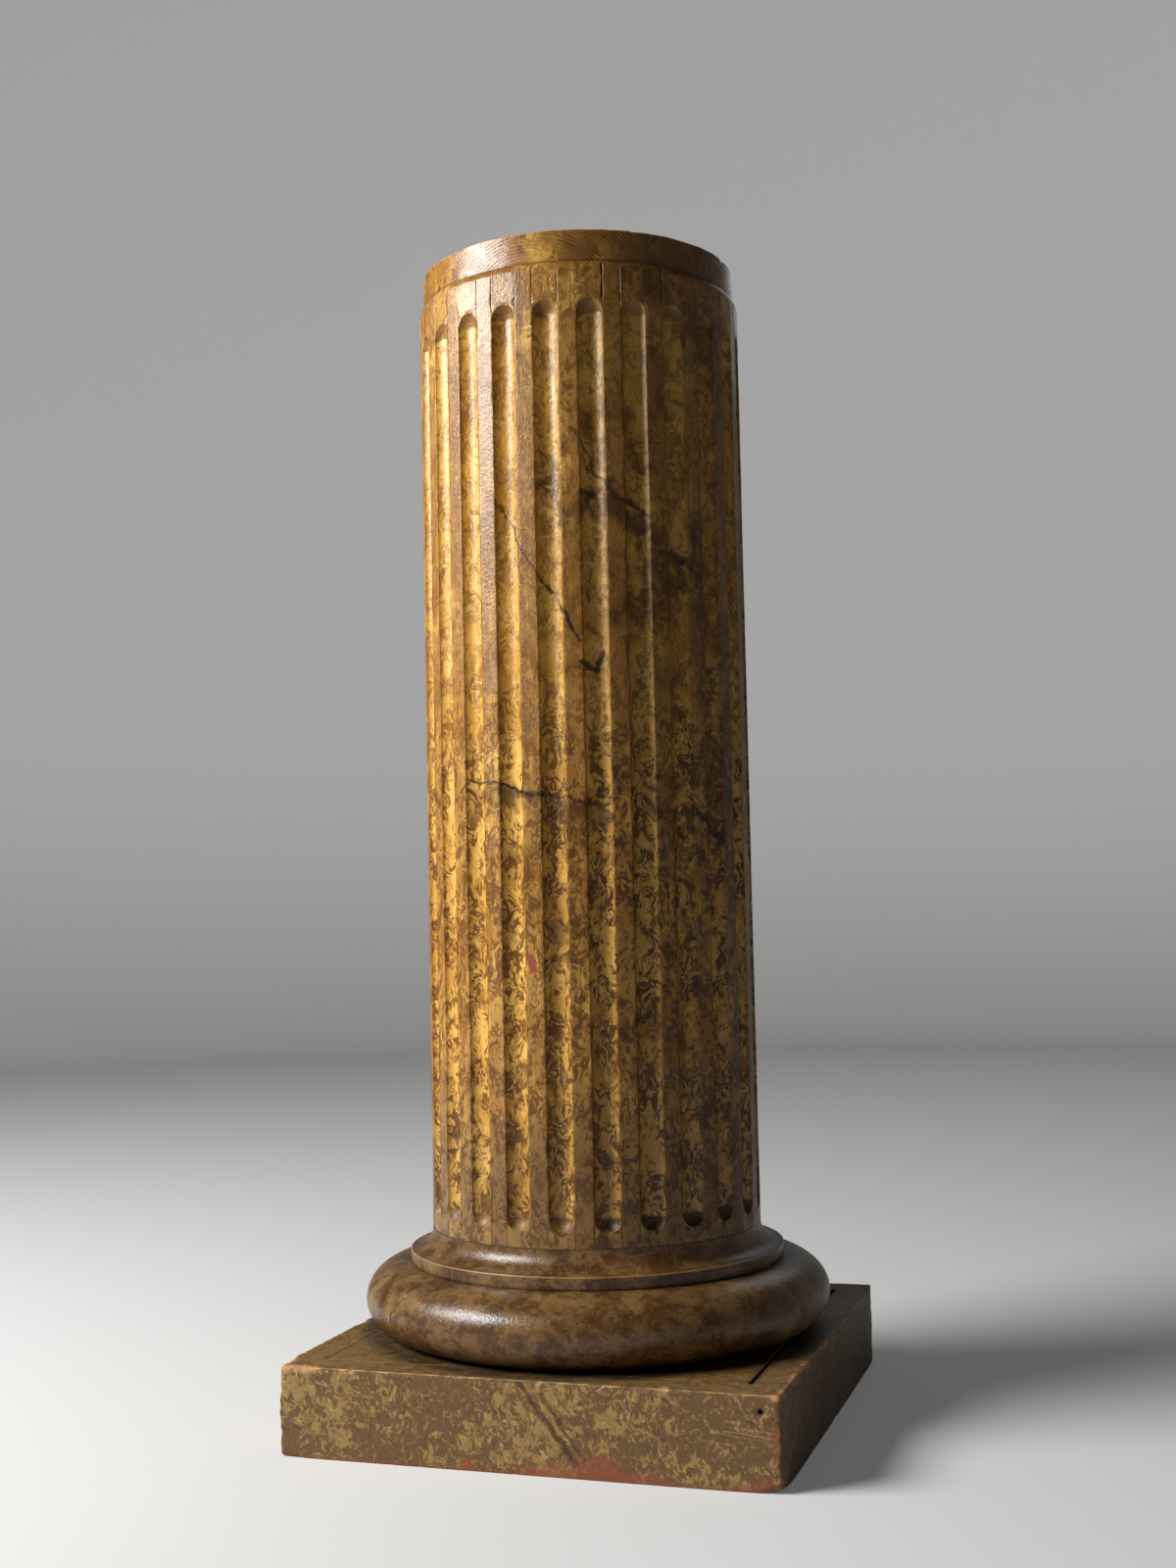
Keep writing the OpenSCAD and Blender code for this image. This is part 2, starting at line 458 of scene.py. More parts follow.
def fillet_stave(number, sizes, material):
    """Plain stave: a nearly flat face between two rounded arrises, whose rounding wanders and is nicked."""
    stave = 2 * number + 1
    height = stave_rows(sizes, np.linspace(BASE_TOP, SHAFT_TOP - sizes.shoulder, LONG_STEPS))
    face = SHAFT_R * math.cos(FILLET_HALF)
    edges = []
    for side in (-1, 1):
        seed = 500 + 2 * stave + side
        wander = 0.3 * line_ripple(height, 0.05, seed) + 0.25 * line_ripple(height, 0.012, seed + 1)
        bevel = sizes.arris * (1 + wander) + random_nicks(height, 9, 5 * MM, 1.1 * MM, seed + 2)
        edges.append((SHAFT_R * math.sin(FILLET_HALF) - draw_back(height, stave, side, sizes), bevel))
    (left, left_bevel), (right, right_bevel) = edges
    inner_left = FACE_IN * left_bevel - left
    inner_right = right - FACE_IN * right_bevel
    middle = (inner_left + inner_right) / 2 + (inner_right - inner_left) / 2 * np.linspace(-1, 1, 7)
    right_x = (right - BEVEL_IN * right_bevel)[:, ::-1]
    right_y = (face - BEVEL_DOWN * right_bevel)[:, ::-1]
    x = np.concatenate([BEVEL_IN * left_bevel - left, middle, right_x], axis=1)
    y = np.concatenate([face - BEVEL_DOWN * left_bevel, np.full_like(middle, face), right_y], axis=1)
    plane = np.stack(np.broadcast_arrays(x, height), axis=-1)
    sway = 1 + line_ripple(height, 0.25, 720 + number)
    y = y - 0.06 * MM * dents(plane, 0.05, 700 + number) - 0.04 * MM * sway
    masks = {"hollow": 0.0, "grime": 0.0, "wear": fade(np.minimum(right - x, x + left), 0.8 * MM)}
    name = f"fillet_stave_{number + 1:02d}"
    close_stave(name, FILLET_HALF, height, x, y, sizes, material, masks)


def close_stave(name, half_angle, height, x, y, sizes, material, masks):
    """Closes a stave's outer surface with its sides and the bore, and turns it into its place."""
    y = np.minimum(y, np.sqrt(np.clip(shoulder_limit(height, sizes) ** 2 - x**2, 0, None)))
    top = smoothstep(height, SHAFT_TOP - 0.45 * MM, SHAFT_TOP)
    bottom = smoothstep(-height, -BASE_TOP - 0.3 * MM, -BASE_TOP)
    y = y - 0.3 * MM * (top + bottom)
    back_x = BORE_R * math.sin(half_angle) * np.array([1.0, -1.0])
    x = np.concatenate([x, np.broadcast_to(back_x, (len(x), 2))], axis=1)
    y = np.concatenate([y, np.full((len(y), 2), BORE_R * math.cos(half_angle))], axis=1)
    full = {}
    for key, values in masks.items():
        front = np.broadcast_to(values, (len(x), x.shape[1] - 2))
        full[key] = np.concatenate([front, np.zeros((len(x), 2))], axis=1)
    points = np.stack([x, -y, np.broadcast_to(height, x.shape)], axis=-1)
    piece(name, turned(points, stave_measures(name)[0]), material, name, full, capped=True)


# Turned pieces


# Angles of the open joints in the torus and in the band, in degrees from the front
TORUS_JOINT = -40.4
BAND_JOINT = -30.7
# By how many degrees the torus's joint slants, between which heights, and the level about which it is open
JOINT_SLANT = 3.6
JOINT_BEND = (0.106, 0.126)
JOINT_LEVEL = 0.108


def revolve(name, profile, turns, material, masks, shape):
    """Surface of revolution: radius and height along a profile, swept over the given angles, and pushed
    about by the shape function of radius, height and angle, except at the poles."""
    radius, height = (np.repeat(column[:, None], len(turns), axis=1) for column in profile.T)
    turn = np.broadcast_to(turns, radius.shape)
    new_radius, new_height = shape(radius, height, turn)
    pole = radius == 0
    points = around(np.where(pole, 0, new_radius), np.where(pole, height, new_height), turn)
    piece(name, points, material, name, masks)


def full_turn(count, *fine):
    """Angles all round, with closer steps over the given stretches of degrees."""
    angles = [np.linspace(-math.pi, math.pi, count, endpoint=False)]
    angles += [np.radians(np.linspace(*stretch)) for stretch in fine]
    return np.unique(np.concatenate(angles).round(6))


def rounded(points, radii, steps=6):
    """A polyline whose corners are replaced by arcs: each inner corner is cut at its radius along both
    legs and joined by a parabola through the cut points, which is close to a circle."""
    points = np.array(points, float)
    t = np.linspace(0, 1, steps)[:, None]
    out = [points[:1]]
    for before, corner, after, radius in zip(points[:-2], points[1:-1], points[2:], radii):
        back = corner + (before - corner) / np.linalg.norm(before - corner) * radius
        on = corner + (after - corner) / np.linalg.norm(after - corner) * radius
        out.append((1 - t) ** 2 * back + 2 * t * (1 - t) * corner + t * t * on)
    return np.concatenate([*out, points[-1:]])


def refine(profile, step):
    """A polyline with more points, no further apart than the step."""
    out = [profile[0]]
    for start, end in zip(profile[:-1], profile[1:]):
        count = max(1, int(math.ceil(np.linalg.norm(end - start) / step)))
        out += [start + (end - start) * k / count for k in range(1, count + 1)]
    return np.array(out)


def torus_joint(turn, height, reach):
    """Distance from the torus's open joint, whose angle slants with the height, and how open it is."""
    joint = math.radians(TORUS_JOINT) + math.radians(JOINT_SLANT) * smoothstep(height, *JOINT_BEND)
    return np.abs(turn - joint) * reach, near(np.abs(height - JOINT_LEVEL), 14 * MM, 24 * MM)


def torus_piece(sizes, material):
    """Half ellipse turned about the axis, with one open segment joint and slight unevenness."""
    bottom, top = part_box("torus")
    low, high, reach = bottom.z, top.z, top.x
    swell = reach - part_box("flare_ring")[1].x - sizes.torus_flat
    flat = reach - swell
    lift = np.linspace(-math.pi / 2, math.pi / 2, 84)
    rise = (low + high) / 2 + (high - low) / 2 * np.sin(lift)
    edge = np.stack([flat + swell * np.cos(lift), rise], axis=1)
    inner = np.linspace(0, flat, 6)[:-1]
    under = np.stack([inner, np.full_like(inner, low)], axis=1)
    over = np.stack([inner[::-1], np.full_like(inner, high)], axis=1)
    profile = np.concatenate([under, edge, over])

    def shape(radius, height, turn):
        """Draws the surface in by a ripple and along the joint."""
        place = around(radius, height, turn)
        away, open_joint = torus_joint(turn, height, reach)
        dip = 0.25 * MM * dents(place, 0.12, 31) + 0.05 * MM * dents(place, 0.03, 32)
        dip = dip + 1.0 * MM * open_joint * near(away, 0.25 * MM, 0.75 * MM)
        return radius - dip * smoothstep(radius, flat, reach - 0.6 * swell), height

    turns = full_turn(TURN_STEPS, (TORUS_JOINT - 1.6, TORUS_JOINT + 4.9, 60))
    height = profile[:, 1][:, None]
    away, open_joint = torus_joint(turns[None, :], height, reach)
    joint_dirt = near(away, 0.4 * MM, 1.1 * MM) * open_joint
    # Dark along the open joint, and painted shadow over the underside where the torus sits on the plinth
    dirt = np.maximum(joint_dirt, near(height, low, low + 15 * MM))
    revolve("torus", profile, turns, material, {"grime": dirt, "wear": 0.0}, shape)


def flare_piece(sizes, material):
    """Band and quarter-circle flare turned about the axis, with rounded lips and a joint in the band."""
    bottom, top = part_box("flare_ring")
    low, high, band = bottom.z, top.z, top.x
    foot = high - sizes.flare
    lip = SHAFT_R + sizes.flare
    arc = np.linspace(0, math.pi / 2, 26)
    curve = np.stack([lip - sizes.flare * np.sin(arc), high - sizes.flare * np.cos(arc)], axis=1)
    corners = rounded([(0, low), (band, low), (band, foot), (lip, foot)], [0.8 * MM, 1.1 * MM])
    over = [[SHAFT_R, high - 0.3 * MM], [SHAFT_R - 0.4 * MM, high], [0, high]]
    profile = refine(np.concatenate([corners, curve[1:-1], over]), 2.2 * MM)

    def shape(radius, height, turn):
        """Draws the surface in by a ripple and along the joint."""
        place = around(radius, height, turn)
        dip = 0.12 * MM * dents(place, 0.1, 41)
        edge = 0.12 * MM * dents(place, 0.015, 42) * smoothstep(radius, band - 2 * MM, band)
        away = np.abs(turn - math.radians(BAND_JOINT)) * radius
        joint = near(away, 0.15 * MM, 0.5 * MM) * smoothstep(radius, lip - 3 * MM, lip)
        dip = dip + edge + 0.7 * MM * joint
        return radius - dip * smoothstep(radius, SHAFT_R - 5 * MM, SHAFT_R), height

    radius, height = (column[:, None] for column in profile.T)
    # Darker along the foot of the band and where the shaft meets the flare
    band_foot_dark = bell(height - low, 1.5 * MM) * (radius > 0.9 * band)
    flare_top_dark = bell(height - high, 1.0 * MM) * (radius > 0.95 * SHAFT_R)
    rim_wear = bell(np.hypot(height - foot, radius - band), 1.6 * MM)
    masks = {"grime": np.clip(band_foot_dark + flare_top_dark, 0, 1), "wear": rim_wear}
    turns = full_turn(TURN_STEPS, (BAND_JOINT - 0.9, BAND_JOINT + 0.9, 22))
    revolve("flare_ring", profile, turns, material, masks, shape)


def cap_piece(material):
    """Flat disc turned about the axis, with a worn, nicked upper edge and a slightly rounded lower one."""
    low, high = (corner.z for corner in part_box("cap_disc"))
    corners = rounded([(0, low), (CAP_R, low), (CAP_R, high), (0, high)], [0.5 * MM, 1.3 * MM])
    profile = refine(corners, 2.5 * MM)
    flat = profile[:, 0] < CAP_R - 14 * MM
    profile = profile[~flat | (np.arange(len(profile)) % 5 == 0) | (profile[:, 0] == 0)]

    def shape(radius, height, turn):
        """Draws the rim in by a ripple and by nicks in its upper edge."""
        place = around(radius, height, turn)
        rim = smoothstep(radius, CAP_R - 3 * MM, CAP_R - 0.5 * MM)
        top_edge = smoothstep(height, high - 3.5 * MM, high - 0.3 * MM) * rim
        nick = random_nicks(turn, 26, 0.03, 0.8 * MM, 51)
        dip = 0.08 * MM * dents(place, 0.06, 52) * rim + nick * top_edge
        sink = 0.25 * MM * dents(place, 0.03, 53) * top_edge + 0.7 * nick * top_edge
        return radius - dip, height - sink

    radius, height = (column[:, None] for column in profile.T)
    # Darker along the lower edge, where the disc meets the shaft
    foot = bell(height - low, 0.8 * MM) * (radius > 0.95 * CAP_R)
    masks = {"grime": foot, "wear": bell(np.hypot(height - high, radius - CAP_R), 1.9 * MM)}
    revolve("cap_disc", profile, full_turn(CAP_STEPS), material, masks, shape)


# Plinth


# Share of half a board's length at which the rounding of its corner begins
CORNER_SHARE = 0.96
# Chips along the upper edges: board, place along it, half width, depth
CHIPS = (
    (0, -0.206, 0.024, 2.6 * MM),
    (0, -0.192, 0.010, 1.2 * MM),
    (0, 0.066, 0.008, 1.1 * MM),
    (0, 0.190, 0.012, 0.8 * MM),
    (0, 0.209, 0.010, 1.6 * MM),
    (1, -0.208, 0.010, 1.6 * MM),
    (1, -0.16, 0.02, 1.6 * MM),
    (1, -0.03, 0.035, 1.8 * MM),
    (1, 0.066, 0.007, 4.2 * MM),
    (1, 0.12, 0.02, 2.0 * MM),
    (2, -0.1, 0.012, 2.0 * MM),
    (2, 0.205, 0.016, 3.0 * MM),
    (3, 0.207, 0.018, 4.5 * MM),
    (3, 0.02, 0.010, 1.4 * MM),
)
# Nail hole in the front board: place along it, height and depth
NAIL = (0.198, 0.062)
NAIL_DEPTH = 5 * MM
# How much the lower arrises widen at each corner, counted from the one at the right of the front board
LOW_CORNERS = (9 * MM, 3 * MM, 2 * MM, 2 * MM)
# Extra rounding of corners: corner, height, growth, fall-off
CORNER_WEAR = (
    (0, 0.0, 7 * MM, 5 * MM),
    (3, 0.075, 4 * MM, 7 * MM),
    (3, 0.0, 4 * MM, 4 * MM),
    (0, 0.075, 1.5 * MM, 6 * MM),
)
# Small nicks along the upper edge of each board
NICKS = (34, 74, 34, 34)


def strip(*stretches):
    """Joins linspace stretches, each given as start, end and count, without repeating their ends."""
    return np.unique(np.round(np.concatenate([np.linspace(*s) for s in stretches]), 7))


def board_stations():
    """Shares of a board's length from one mitre to the other: even steps, closer ones near the nail hole,
    and the rounding of the corners apart."""
    run = strip((-CORNER_SHARE, CORNER_SHARE, LONG_STEPS), (0.885, 0.916, 20))
    turn = np.linspace(CORNER_SHARE, 1, 9)[1:]
    return np.concatenate([-turn[::-1], run, turn])


def board_section(top_round, low_round):
    """Distance from the outer face and height round a board's section, for arrays of rounding radii:
    lower arris, outer face, upper arris, top, inner face and underside."""
    arc = np.linspace(0, math.pi / 2, 7)
    rise = strip((0, 1, 27), (0.79, 0.87, 16))[1:-1]
    inner_round = 0.5 * MM
    none = 0 * top_round
    loop = [(low_round * (1 - math.sin(a)), low_round * (1 - math.cos(a))) for a in arc]
    loop += [(none, low_round + (PLINTH_H - top_round - low_round) * t) for t in rise]
    loop += [(top_round * (1 - math.cos(a)), PLINTH_H - top_round * (1 - math.sin(a))) for a in arc]
    across = BOARD_T - inner_round - top_round
    loop += [(top_round + across * t, PLINTH_H + none) for t in np.linspace(0, 1, 10)[1:]]
    loop += [(BOARD_T + none, (PLINTH_H - inner_round) * t + none) for t in (1, 0.66, 0.33, 0)]
    loop += [(low_round + (BOARD_T - low_round) * t, none) for t in (0.66, 0.33)]
    return (np.stack(column, axis=-1) for column in zip(*loop))


def plinth_board(side, sizes, material):
    """One mitred board: its section is swept from mitre to mitre, the corners are arcs about a point one
    corner radius in from both faces, and the arrises widen where the edge is chipped."""
    share = board_stations()
    sign = np.sign(share)[:, None]
    reach = np.minimum(np.abs(share) / CORNER_SHARE, 1)
    along = np.sign(share) * reach * PLINTH_HALF
    places, widths, depths = (np.array(v) for v in zip(*[c[1:] for c in CHIPS if c[0] == side]))
    seed = 900 + 10 * side
    wander = 0.25 * line_ripple(along, 0.05, seed) + 0.2 * line_ripple(along, 0.014, seed + 1)
    top_round = sizes.edge * (1 + wander) + tents(along, places, widths, depths)
    top_round = top_round + random_nicks(along, NICKS[side], 3 * MM, 2 * MM, seed + 2)
    low_round = sizes.edge * (0.9 + 0.2 * line_ripple(along, 0.06, seed + 3))
    low_round = low_round + random_nicks(along, 6, 8 * MM, 2 * MM, seed + 4)
    ends = ((-1, side - 1), (1, side))
    for end, number in ends:
        low_round = low_round + LOW_CORNERS[number] * fade(PLINTH_HALF - end * along, 11 * MM)
    inward, height = board_section(top_round, low_round)
    wander = 0.3 * line_ripple(height, 0.03, 950) + 0.2 * line_ripple(height, 0.011, 951)
    corner = sizes.corner * (1 + wander)
    for worn, level, grow, fall in CORNER_WEAR:
        for end, number in ends:
            if number % len(BOARDS) == worn:
                corner = corner + (sign == end) * grow * fade(np.abs(height - level), fall)
    swing = np.clip((np.abs(share) - CORNER_SHARE) / (1 - CORNER_SHARE), 0, 1)[:, None] * math.pi / 4
    inside = np.clip(corner - inward, 0, None)
    u = sign * ((PLINTH_HALF - np.maximum(inward, corner)) * reach[:, None] + inside * np.sin(swing))
    deep = inward + inside * (1 - np.cos(swing))
    outer = near(inward, 0, 2 * MM)
    place = np.stack([u, deep, height], axis=-1)
    deep = deep + outer * 0.12 * MM * dents(place, 0.09, seed + 5) * (1 - np.sin(2 * swing) ** 2)
    if side == 0:
        from_nail = np.hypot(u - NAIL[0], height - NAIL[1])
        deep = deep + outer * NAIL_DEPTH * near(from_nail, 0.6 * sizes.nail, sizes.nail)
    top = smoothstep(height, PLINTH_H - 0.2 * MM, PLINTH_H - 0.05 * MM) * (inward < BOARD_T - 0.6 * MM)
    sunk = height - top * 0.1 * MM * dents(place, 0.07, seed + 6)
    points = turned(np.stack([u, deep - PLINTH_HALF, sunk], axis=-1), side * math.pi / 2)
    masks = board_masks(side, u, height, inward, top_round[:, None], corner, sizes)
    piece(BOARDS[side], points, material, BOARDS[side], masks, capped=True)


def under_torus(x, y):
    """Painted shadow of the torus: 1 under it, and 0 some way out from it."""
    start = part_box("torus")[1].x - 6 * MM
    return near(np.hypot(x, y), start, start + 18 * MM)


def board_masks(side, along, height, inward, top_round, corner, sizes):
    """Where the paint is rubbed to the wood, where the red ground shows, where the joints and the nail hole
    are darker, and the painted shadow of the torus.
    """
    from_top = np.hypot(np.clip(PLINTH_H - height, 0, None), inward)
    rubbed = 1 + 0.6 * line_ripple(along, 0.03, 40 + side)
    wear = 0.8 * fade(from_top - 0.4 * top_round, 0.5 * MM) * rubbed
    chipped = smoothstep(top_round, 2.2 * MM, 3.2 * MM) * near(from_top, top_round, 1.5 * top_round)
    reach = (2.5 - 0.8 * side) * MM * (1 + line_ripple(along, 0.08, 60 + side))
    strength = 0.35 * (along < 0) * (side == 2)
    top = height > PLINTH_H - 1 * MM
    dirt = fade(np.abs(BOARD_T - inward), 0.7 * MM) * top * (1.0 if side == 1 else 0.2)
    # Painted shadow of the torus on the board's top
    dirt = np.maximum(dirt, under_torus(along, PLINTH_HALF - inward) * top)
    if side == 0:
        low_run = smoothstep(along, -0.02, 0.01) * smoothstep(-along, -0.14, -0.09)
        reach = 1.5 * MM + 4.5 * MM * low_run + 7 * MM * bell(along - 0.066, 0.024)
        reach = reach + 5 * MM * bell(along + 0.044, 0.006) + 5 * MM * smoothstep(along, 0.16, 0.205)
        middle = smoothstep(height, 10 * MM, 24 * MM) * smoothstep(-height, -68 * MM, -58 * MM)
        strength = 1.1 * middle * (along > 0)
        from_nail = np.hypot(along - NAIL[0], height - NAIL[1])
        # Darker inside the nail hole
        dirt = dirt + 1.2 * near(from_nail, sizes.nail, 1.25 * sizes.nail) * (inward < 8 * MM)
    ground = np.clip(1.25 - height / np.maximum(2 * reach, 0.5 * MM), 0, 1) * (inward < 2 * MM)
    red = ground + fade(PLINTH_HALF - np.abs(along), 7 * MM) * (inward < corner) * strength
    wear, red, dirt = (np.clip(mask, 0, 1) for mask in (wear, red, dirt))
    return {"wear": wear, "chip": chipped, "red": red, "grime": dirt}


def panel_piece(material):
    """Top panel: oblong loops drawn in towards the middle, flat on both faces, with a bevelled upper edge.
    Its right side is drawn back, which leaves the open gap beside the board."""
    low, high = (np.array(v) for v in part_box("plinth_panel"))
    middle, half = (low + high) / 2, (high - low) / 2
    run = np.linspace(-1, 1, 120, endpoint=False)
    one = np.ones(len(run))
    outline = np.concatenate([
        np.stack(side, axis=1) for side in ((run, -one), (one, run), (-run, one), (-one, -run))
    ])
    bevel = 0.5 * MM
    rings = [(0.0, low[2]), (half[0], low[2])]
    rings += [(half[0], low[2] + (high[2] - low[2] - bevel) * t) for t in (0.3, 0.6, 1.0)]
    rings += [(half[0] - bevel, high[2])]
    rings += [(half[0] * t, high[2]) for t in np.linspace(0.97, 0, 16)]
    size, level = (np.array(column)[:, None] for column in zip(*rings))
    inset = half[0] - size
    x = middle[0] + outline[:, 0] * size
    y = middle[1] + outline[:, 1] * (half[1] * size / half[0])
    x = x - 1.2 * MM * smoothstep(x, high[0] - 12 * MM, high[0]) * (1 + 0.3 * line_ripple(y, 0.12, 78))
    z = np.broadcast_to(level, x.shape)
    flat = (z > high[2] - 0.01 * MM) * smoothstep(inset, 1 * MM, 8 * MM)
    z = z - flat * 0.12 * MM * dents(np.stack([x, y, z], axis=-1), 0.09, 77)
    dirt = fade(inset, 1.2 * MM) * (z > high[2] - 1 * MM) * (0.2 + 0.8 * (outline[:, 0] == 1))
    # Painted shadow of the torus on the panel
    dirt = np.maximum(dirt, 1.2 * under_torus(x, y))
    masks = {"wear": 0.0, "chip": 0.0, "red": 0.0, "grime": 0.8 * dirt}
    piece("plinth_panel", np.stack([x, y, z], axis=-1), material, "plinth_panel", masks)


# Paint


class Value:
    """A number, colour or place that varies over a surface. Arithmetic on numbers adds math nodes."""

    def __init__(self, net, socket):
        self.net = net
        self.socket = socket

    def __add__(self, other):
        return self.net.math("ADD", self, other)

    def __sub__(self, other):
        return self.net.math("SUBTRACT", self, other)

    def __mul__(self, other):
        return self.net.math("MULTIPLY", self, other)

    def __truediv__(self, other):
        return self.net.math("DIVIDE", self, other)

    def __abs__(self):
        return self.net.math("ABSOLUTE", self)


class Net:
    """Short ways of adding nodes to one node tree."""

    def __init__(self, tree):
        self.tree = tree
        self.coords = None

    def node(self, kind, sockets, **settings):
        """A new node with its settings, and its inputs linked or set by name or index."""
        made = self.tree.nodes.new("ShaderNode" + kind)
        for name, value in settings.items():
            setattr(made, name, value)
        for key, value in sockets.items():
            self.feed(made.inputs[key], value)
        return made

    def feed(self, socket, value):
        """Links an input to a value, or sets it to a constant."""
        if isinstance(value, Value):
            self.tree.links.new(value.socket, socket)
        elif hasattr(value, "__len__") and len(value) < len(socket.default_value):
            socket.default_value = (*value, 1.0)
        else:
            socket.default_value = value

    def add(self, kind, sockets, out=0, **settings):
        """One output of a new node."""
        return Value(self, self.node(kind, sockets, **settings).outputs[out])

    def place(self):
        """Object coordinates."""
        if self.coords is None:
            self.coords = self.add("TexCoord", {}, "Object")
        return self.coords

    def parts(self, at):
        """The three coordinates of a place."""
        return [Value(self, socket) for socket in self.node("SeparateXYZ", {0: at}).outputs]

    def joined(self, x, y, z=0.0):
        """A place from its three coordinates."""
        return self.add("CombineXYZ", {0: x, 1: y, 2: z})

    def math(self, operation, a, b=0.0, clamp=False):
        """A calculation on one or two numbers."""
        return self.add("Math", {0: a, 1: b}, operation=operation, use_clamp=clamp)

    def most(self, a, b):
        """The greater of two numbers."""
        return self.math("MAXIMUM", a, b)

    def turn(self, x, y):
        """Angle about the column's axis, from the front towards +X."""
        return self.math("ARCTAN2", x, y * -1.0)

    def vector(self, operation, a, b=(0.0, 0.0, 0.0), out=0):
        """A calculation on two places."""
        return self.add("VectorMath", {0: a, 1: b}, out, operation=operation)

    def scaled(self, at, factor):
        """A place scaled by a number."""
        return self.add("VectorMath", {0: at, "Scale": factor}, operation="SCALE")

    def noise(self, at, scale, detail=2.0, rough=0.5):
        """Smooth noise, from 0 to 1."""
        return self.add("TexNoise", {"Vector": at, "Scale": scale, "Detail": detail, "Roughness": rough})

    def warped(self, at, scale, reach):
        """A place pushed about by noise."""
        push = self.add("TexNoise", {"Vector": at, "Scale": scale, "Detail": 1.5}, "Color")
        push = self.vector("SUBTRACT", push, (0.5, 0.5, 0.5))
        return self.vector("ADD", at, self.vector("MULTIPLY", push, (reach, reach, reach)))

    def step(self, value, low, high, out_low=0.0, out_high=1.0):
        """A smooth step of a value from low to high."""
        sockets = {"Value": value, "From Min": low, "From Max": high, "To Min": out_low, "To Max": out_high}
        return self.add("MapRange", sockets, interpolation_type="SMOOTHSTEP")

    def between(self, share, low, high):
        """A number between two others by a share."""
        return self.step(share, 0.0, 1.0, low, high)

    def mix(self, factor, a, b):
        """A mix of two colours."""
        return self.add("Mix", {0: factor, 6: a, 7: b}, 2, data_type="RGBA")

    def mask(self, name):
        """A mask that the surface carries."""
        return self.add("Attribute", {}, "Fac", attribute_name=name)

    def group(self, build, **sockets):
        """The outputs of a shared node group, which is built the first time it is asked for."""
        name = build.__name__.replace("_", " ").title()
        made = self.node("Group", sockets, node_tree=bpy.data.node_groups.get(name) or build(name))
        return {socket.name: Value(self, socket) for socket in made.outputs}


def new_group(name, inputs, outputs):
    """An empty node group, as (net, values of its inputs). A default of None makes an input a colour."""
    tree = bpy.data.node_groups.new(name, "ShaderNodeTree")
    for label, default in inputs.items():
        kind = "Color" if default is None else "Float"
        made = tree.interface.new_socket(name=label, in_out="INPUT", socket_type="NodeSocket" + kind)
        made.default_value = (1.0, 1.0, 1.0, 1.0) if default is None else default
    for label in outputs:
        kind = "Color" if label == "Colour" else "Float"
        tree.interface.new_socket(name=label, in_out="OUTPUT", socket_type="NodeSocket" + kind)
    net = Net(tree)
    source = tree.nodes.new("NodeGroupInput")
    return net, {socket.name: Value(net, socket) for socket in source.outputs}


def close_group(net, **outputs):
    """Links a group's outputs and returns its tree."""
    sink = net.tree.nodes.new("NodeGroupOutput")
    for label, value in outputs.items():
        net.feed(sink.inputs[label], value)
    return net.tree


def marbled_paint(name):
    """Painted marbling: clouds of the dark colour on the ground, short curling dark flecks and thin light
    ones, all from noise whose coordinates are pushed about by larger noise."""
    inputs = {"Ground": None, "Light": None, "Dark": None, "Clouds": 0.5, "Curls": 0.5, "Sparks": 0.5,
              "Size": 1.0, "Rise": 0.7}
    net, source = new_group(name, inputs, ("Colour", "Curl"))
    at = net.vector("MULTIPLY", net.place(), net.joined(1.0, 1.0, source["Rise"]))
    at = net.scaled(at, source["Size"])
    curled = net.warped(at, 62.0, 0.026)
    broad = net.warped(at, 24.0, 0.03)
    blend = net.step(net.noise(broad, 15.0, 4.0, 0.65), 0.38, 0.62, 0.0, 0.6)
    tone = net.mix(blend, source["Ground"], source["Light"])
    clouds = net.step(net.noise(curled, 74.0, 4.0, 0.68), 0.515, 0.59)
    tone = net.mix(clouds * source["Clouds"], tone, source["Dark"])
    line = net.step(abs(net.noise(curled, 98.0, 2.0, 0.6) - 0.5), 0.065, 0.03)
    broken = net.step(net.noise(at, 66.0, 1.5), 0.46, 0.53)
    small = net.step(abs(net.noise(curled, 190.0, 1.0, 0.6) - 0.5), 0.075, 0.03)
    small = small * net.step(net.noise(at, 105.0, 1.5), 0.48, 0.56)
    blot = net.step(net.noise(curled, 150.0, 2.0, 0.6), 0.55, 0.62)
    blot = blot * net.step(net.noise(at, 34.0, 2.0), 0.42, 0.58)
    curl = net.most(net.most(line * broken, blot), small * 0.6) * source["Curls"]
    tone = net.mix(curl, tone, source["Dark"])
    shifted = net.vector("ADD", curled, (0.3, 0.7, 0.2))
    spark = net.step(abs(net.noise(shifted, 140.0, 2.0) - 0.5), 0.05, 0.02)
    spark = spark * net.step(net.noise(shifted, 60.0, 1.5), 0.5, 0.58)
    tone = net.mix(spark * source["Sparks"], tone, source["Light"])
    return close_group(net, Colour=tone, Curl=curl)


def stroke(name):
    """A brushed or scratched line from one point to another: 1 within half its width, fading to 0."""
    labels = ("Along", "Height", "StartAlong", "StartHeight", "EndAlong", "EndHeight", "Width")
    net, source = new_group(name, dict.fromkeys(labels, 0.0), ("Mask",))
    start = net.joined(source["StartAlong"], source["StartHeight"])
    run = net.vector("SUBTRACT", net.joined(source["EndAlong"], source["EndHeight"]), start)
    rest = net.vector("SUBTRACT", net.joined(source["Along"], source["Height"]), start)
    size = net.most(net.vector("DOT_PRODUCT", run, run, "Value"), 1e-9)
    share = net.math("DIVIDE", net.vector("DOT_PRODUCT", rest, run, "Value"), size, clamp=True)
    away = net.vector("LENGTH", net.vector("SUBTRACT", rest, net.scaled(run, share)), out="Value")
    return close_group(net, Mask=net.step(away, source["Width"], source["Width"] * 0.35))


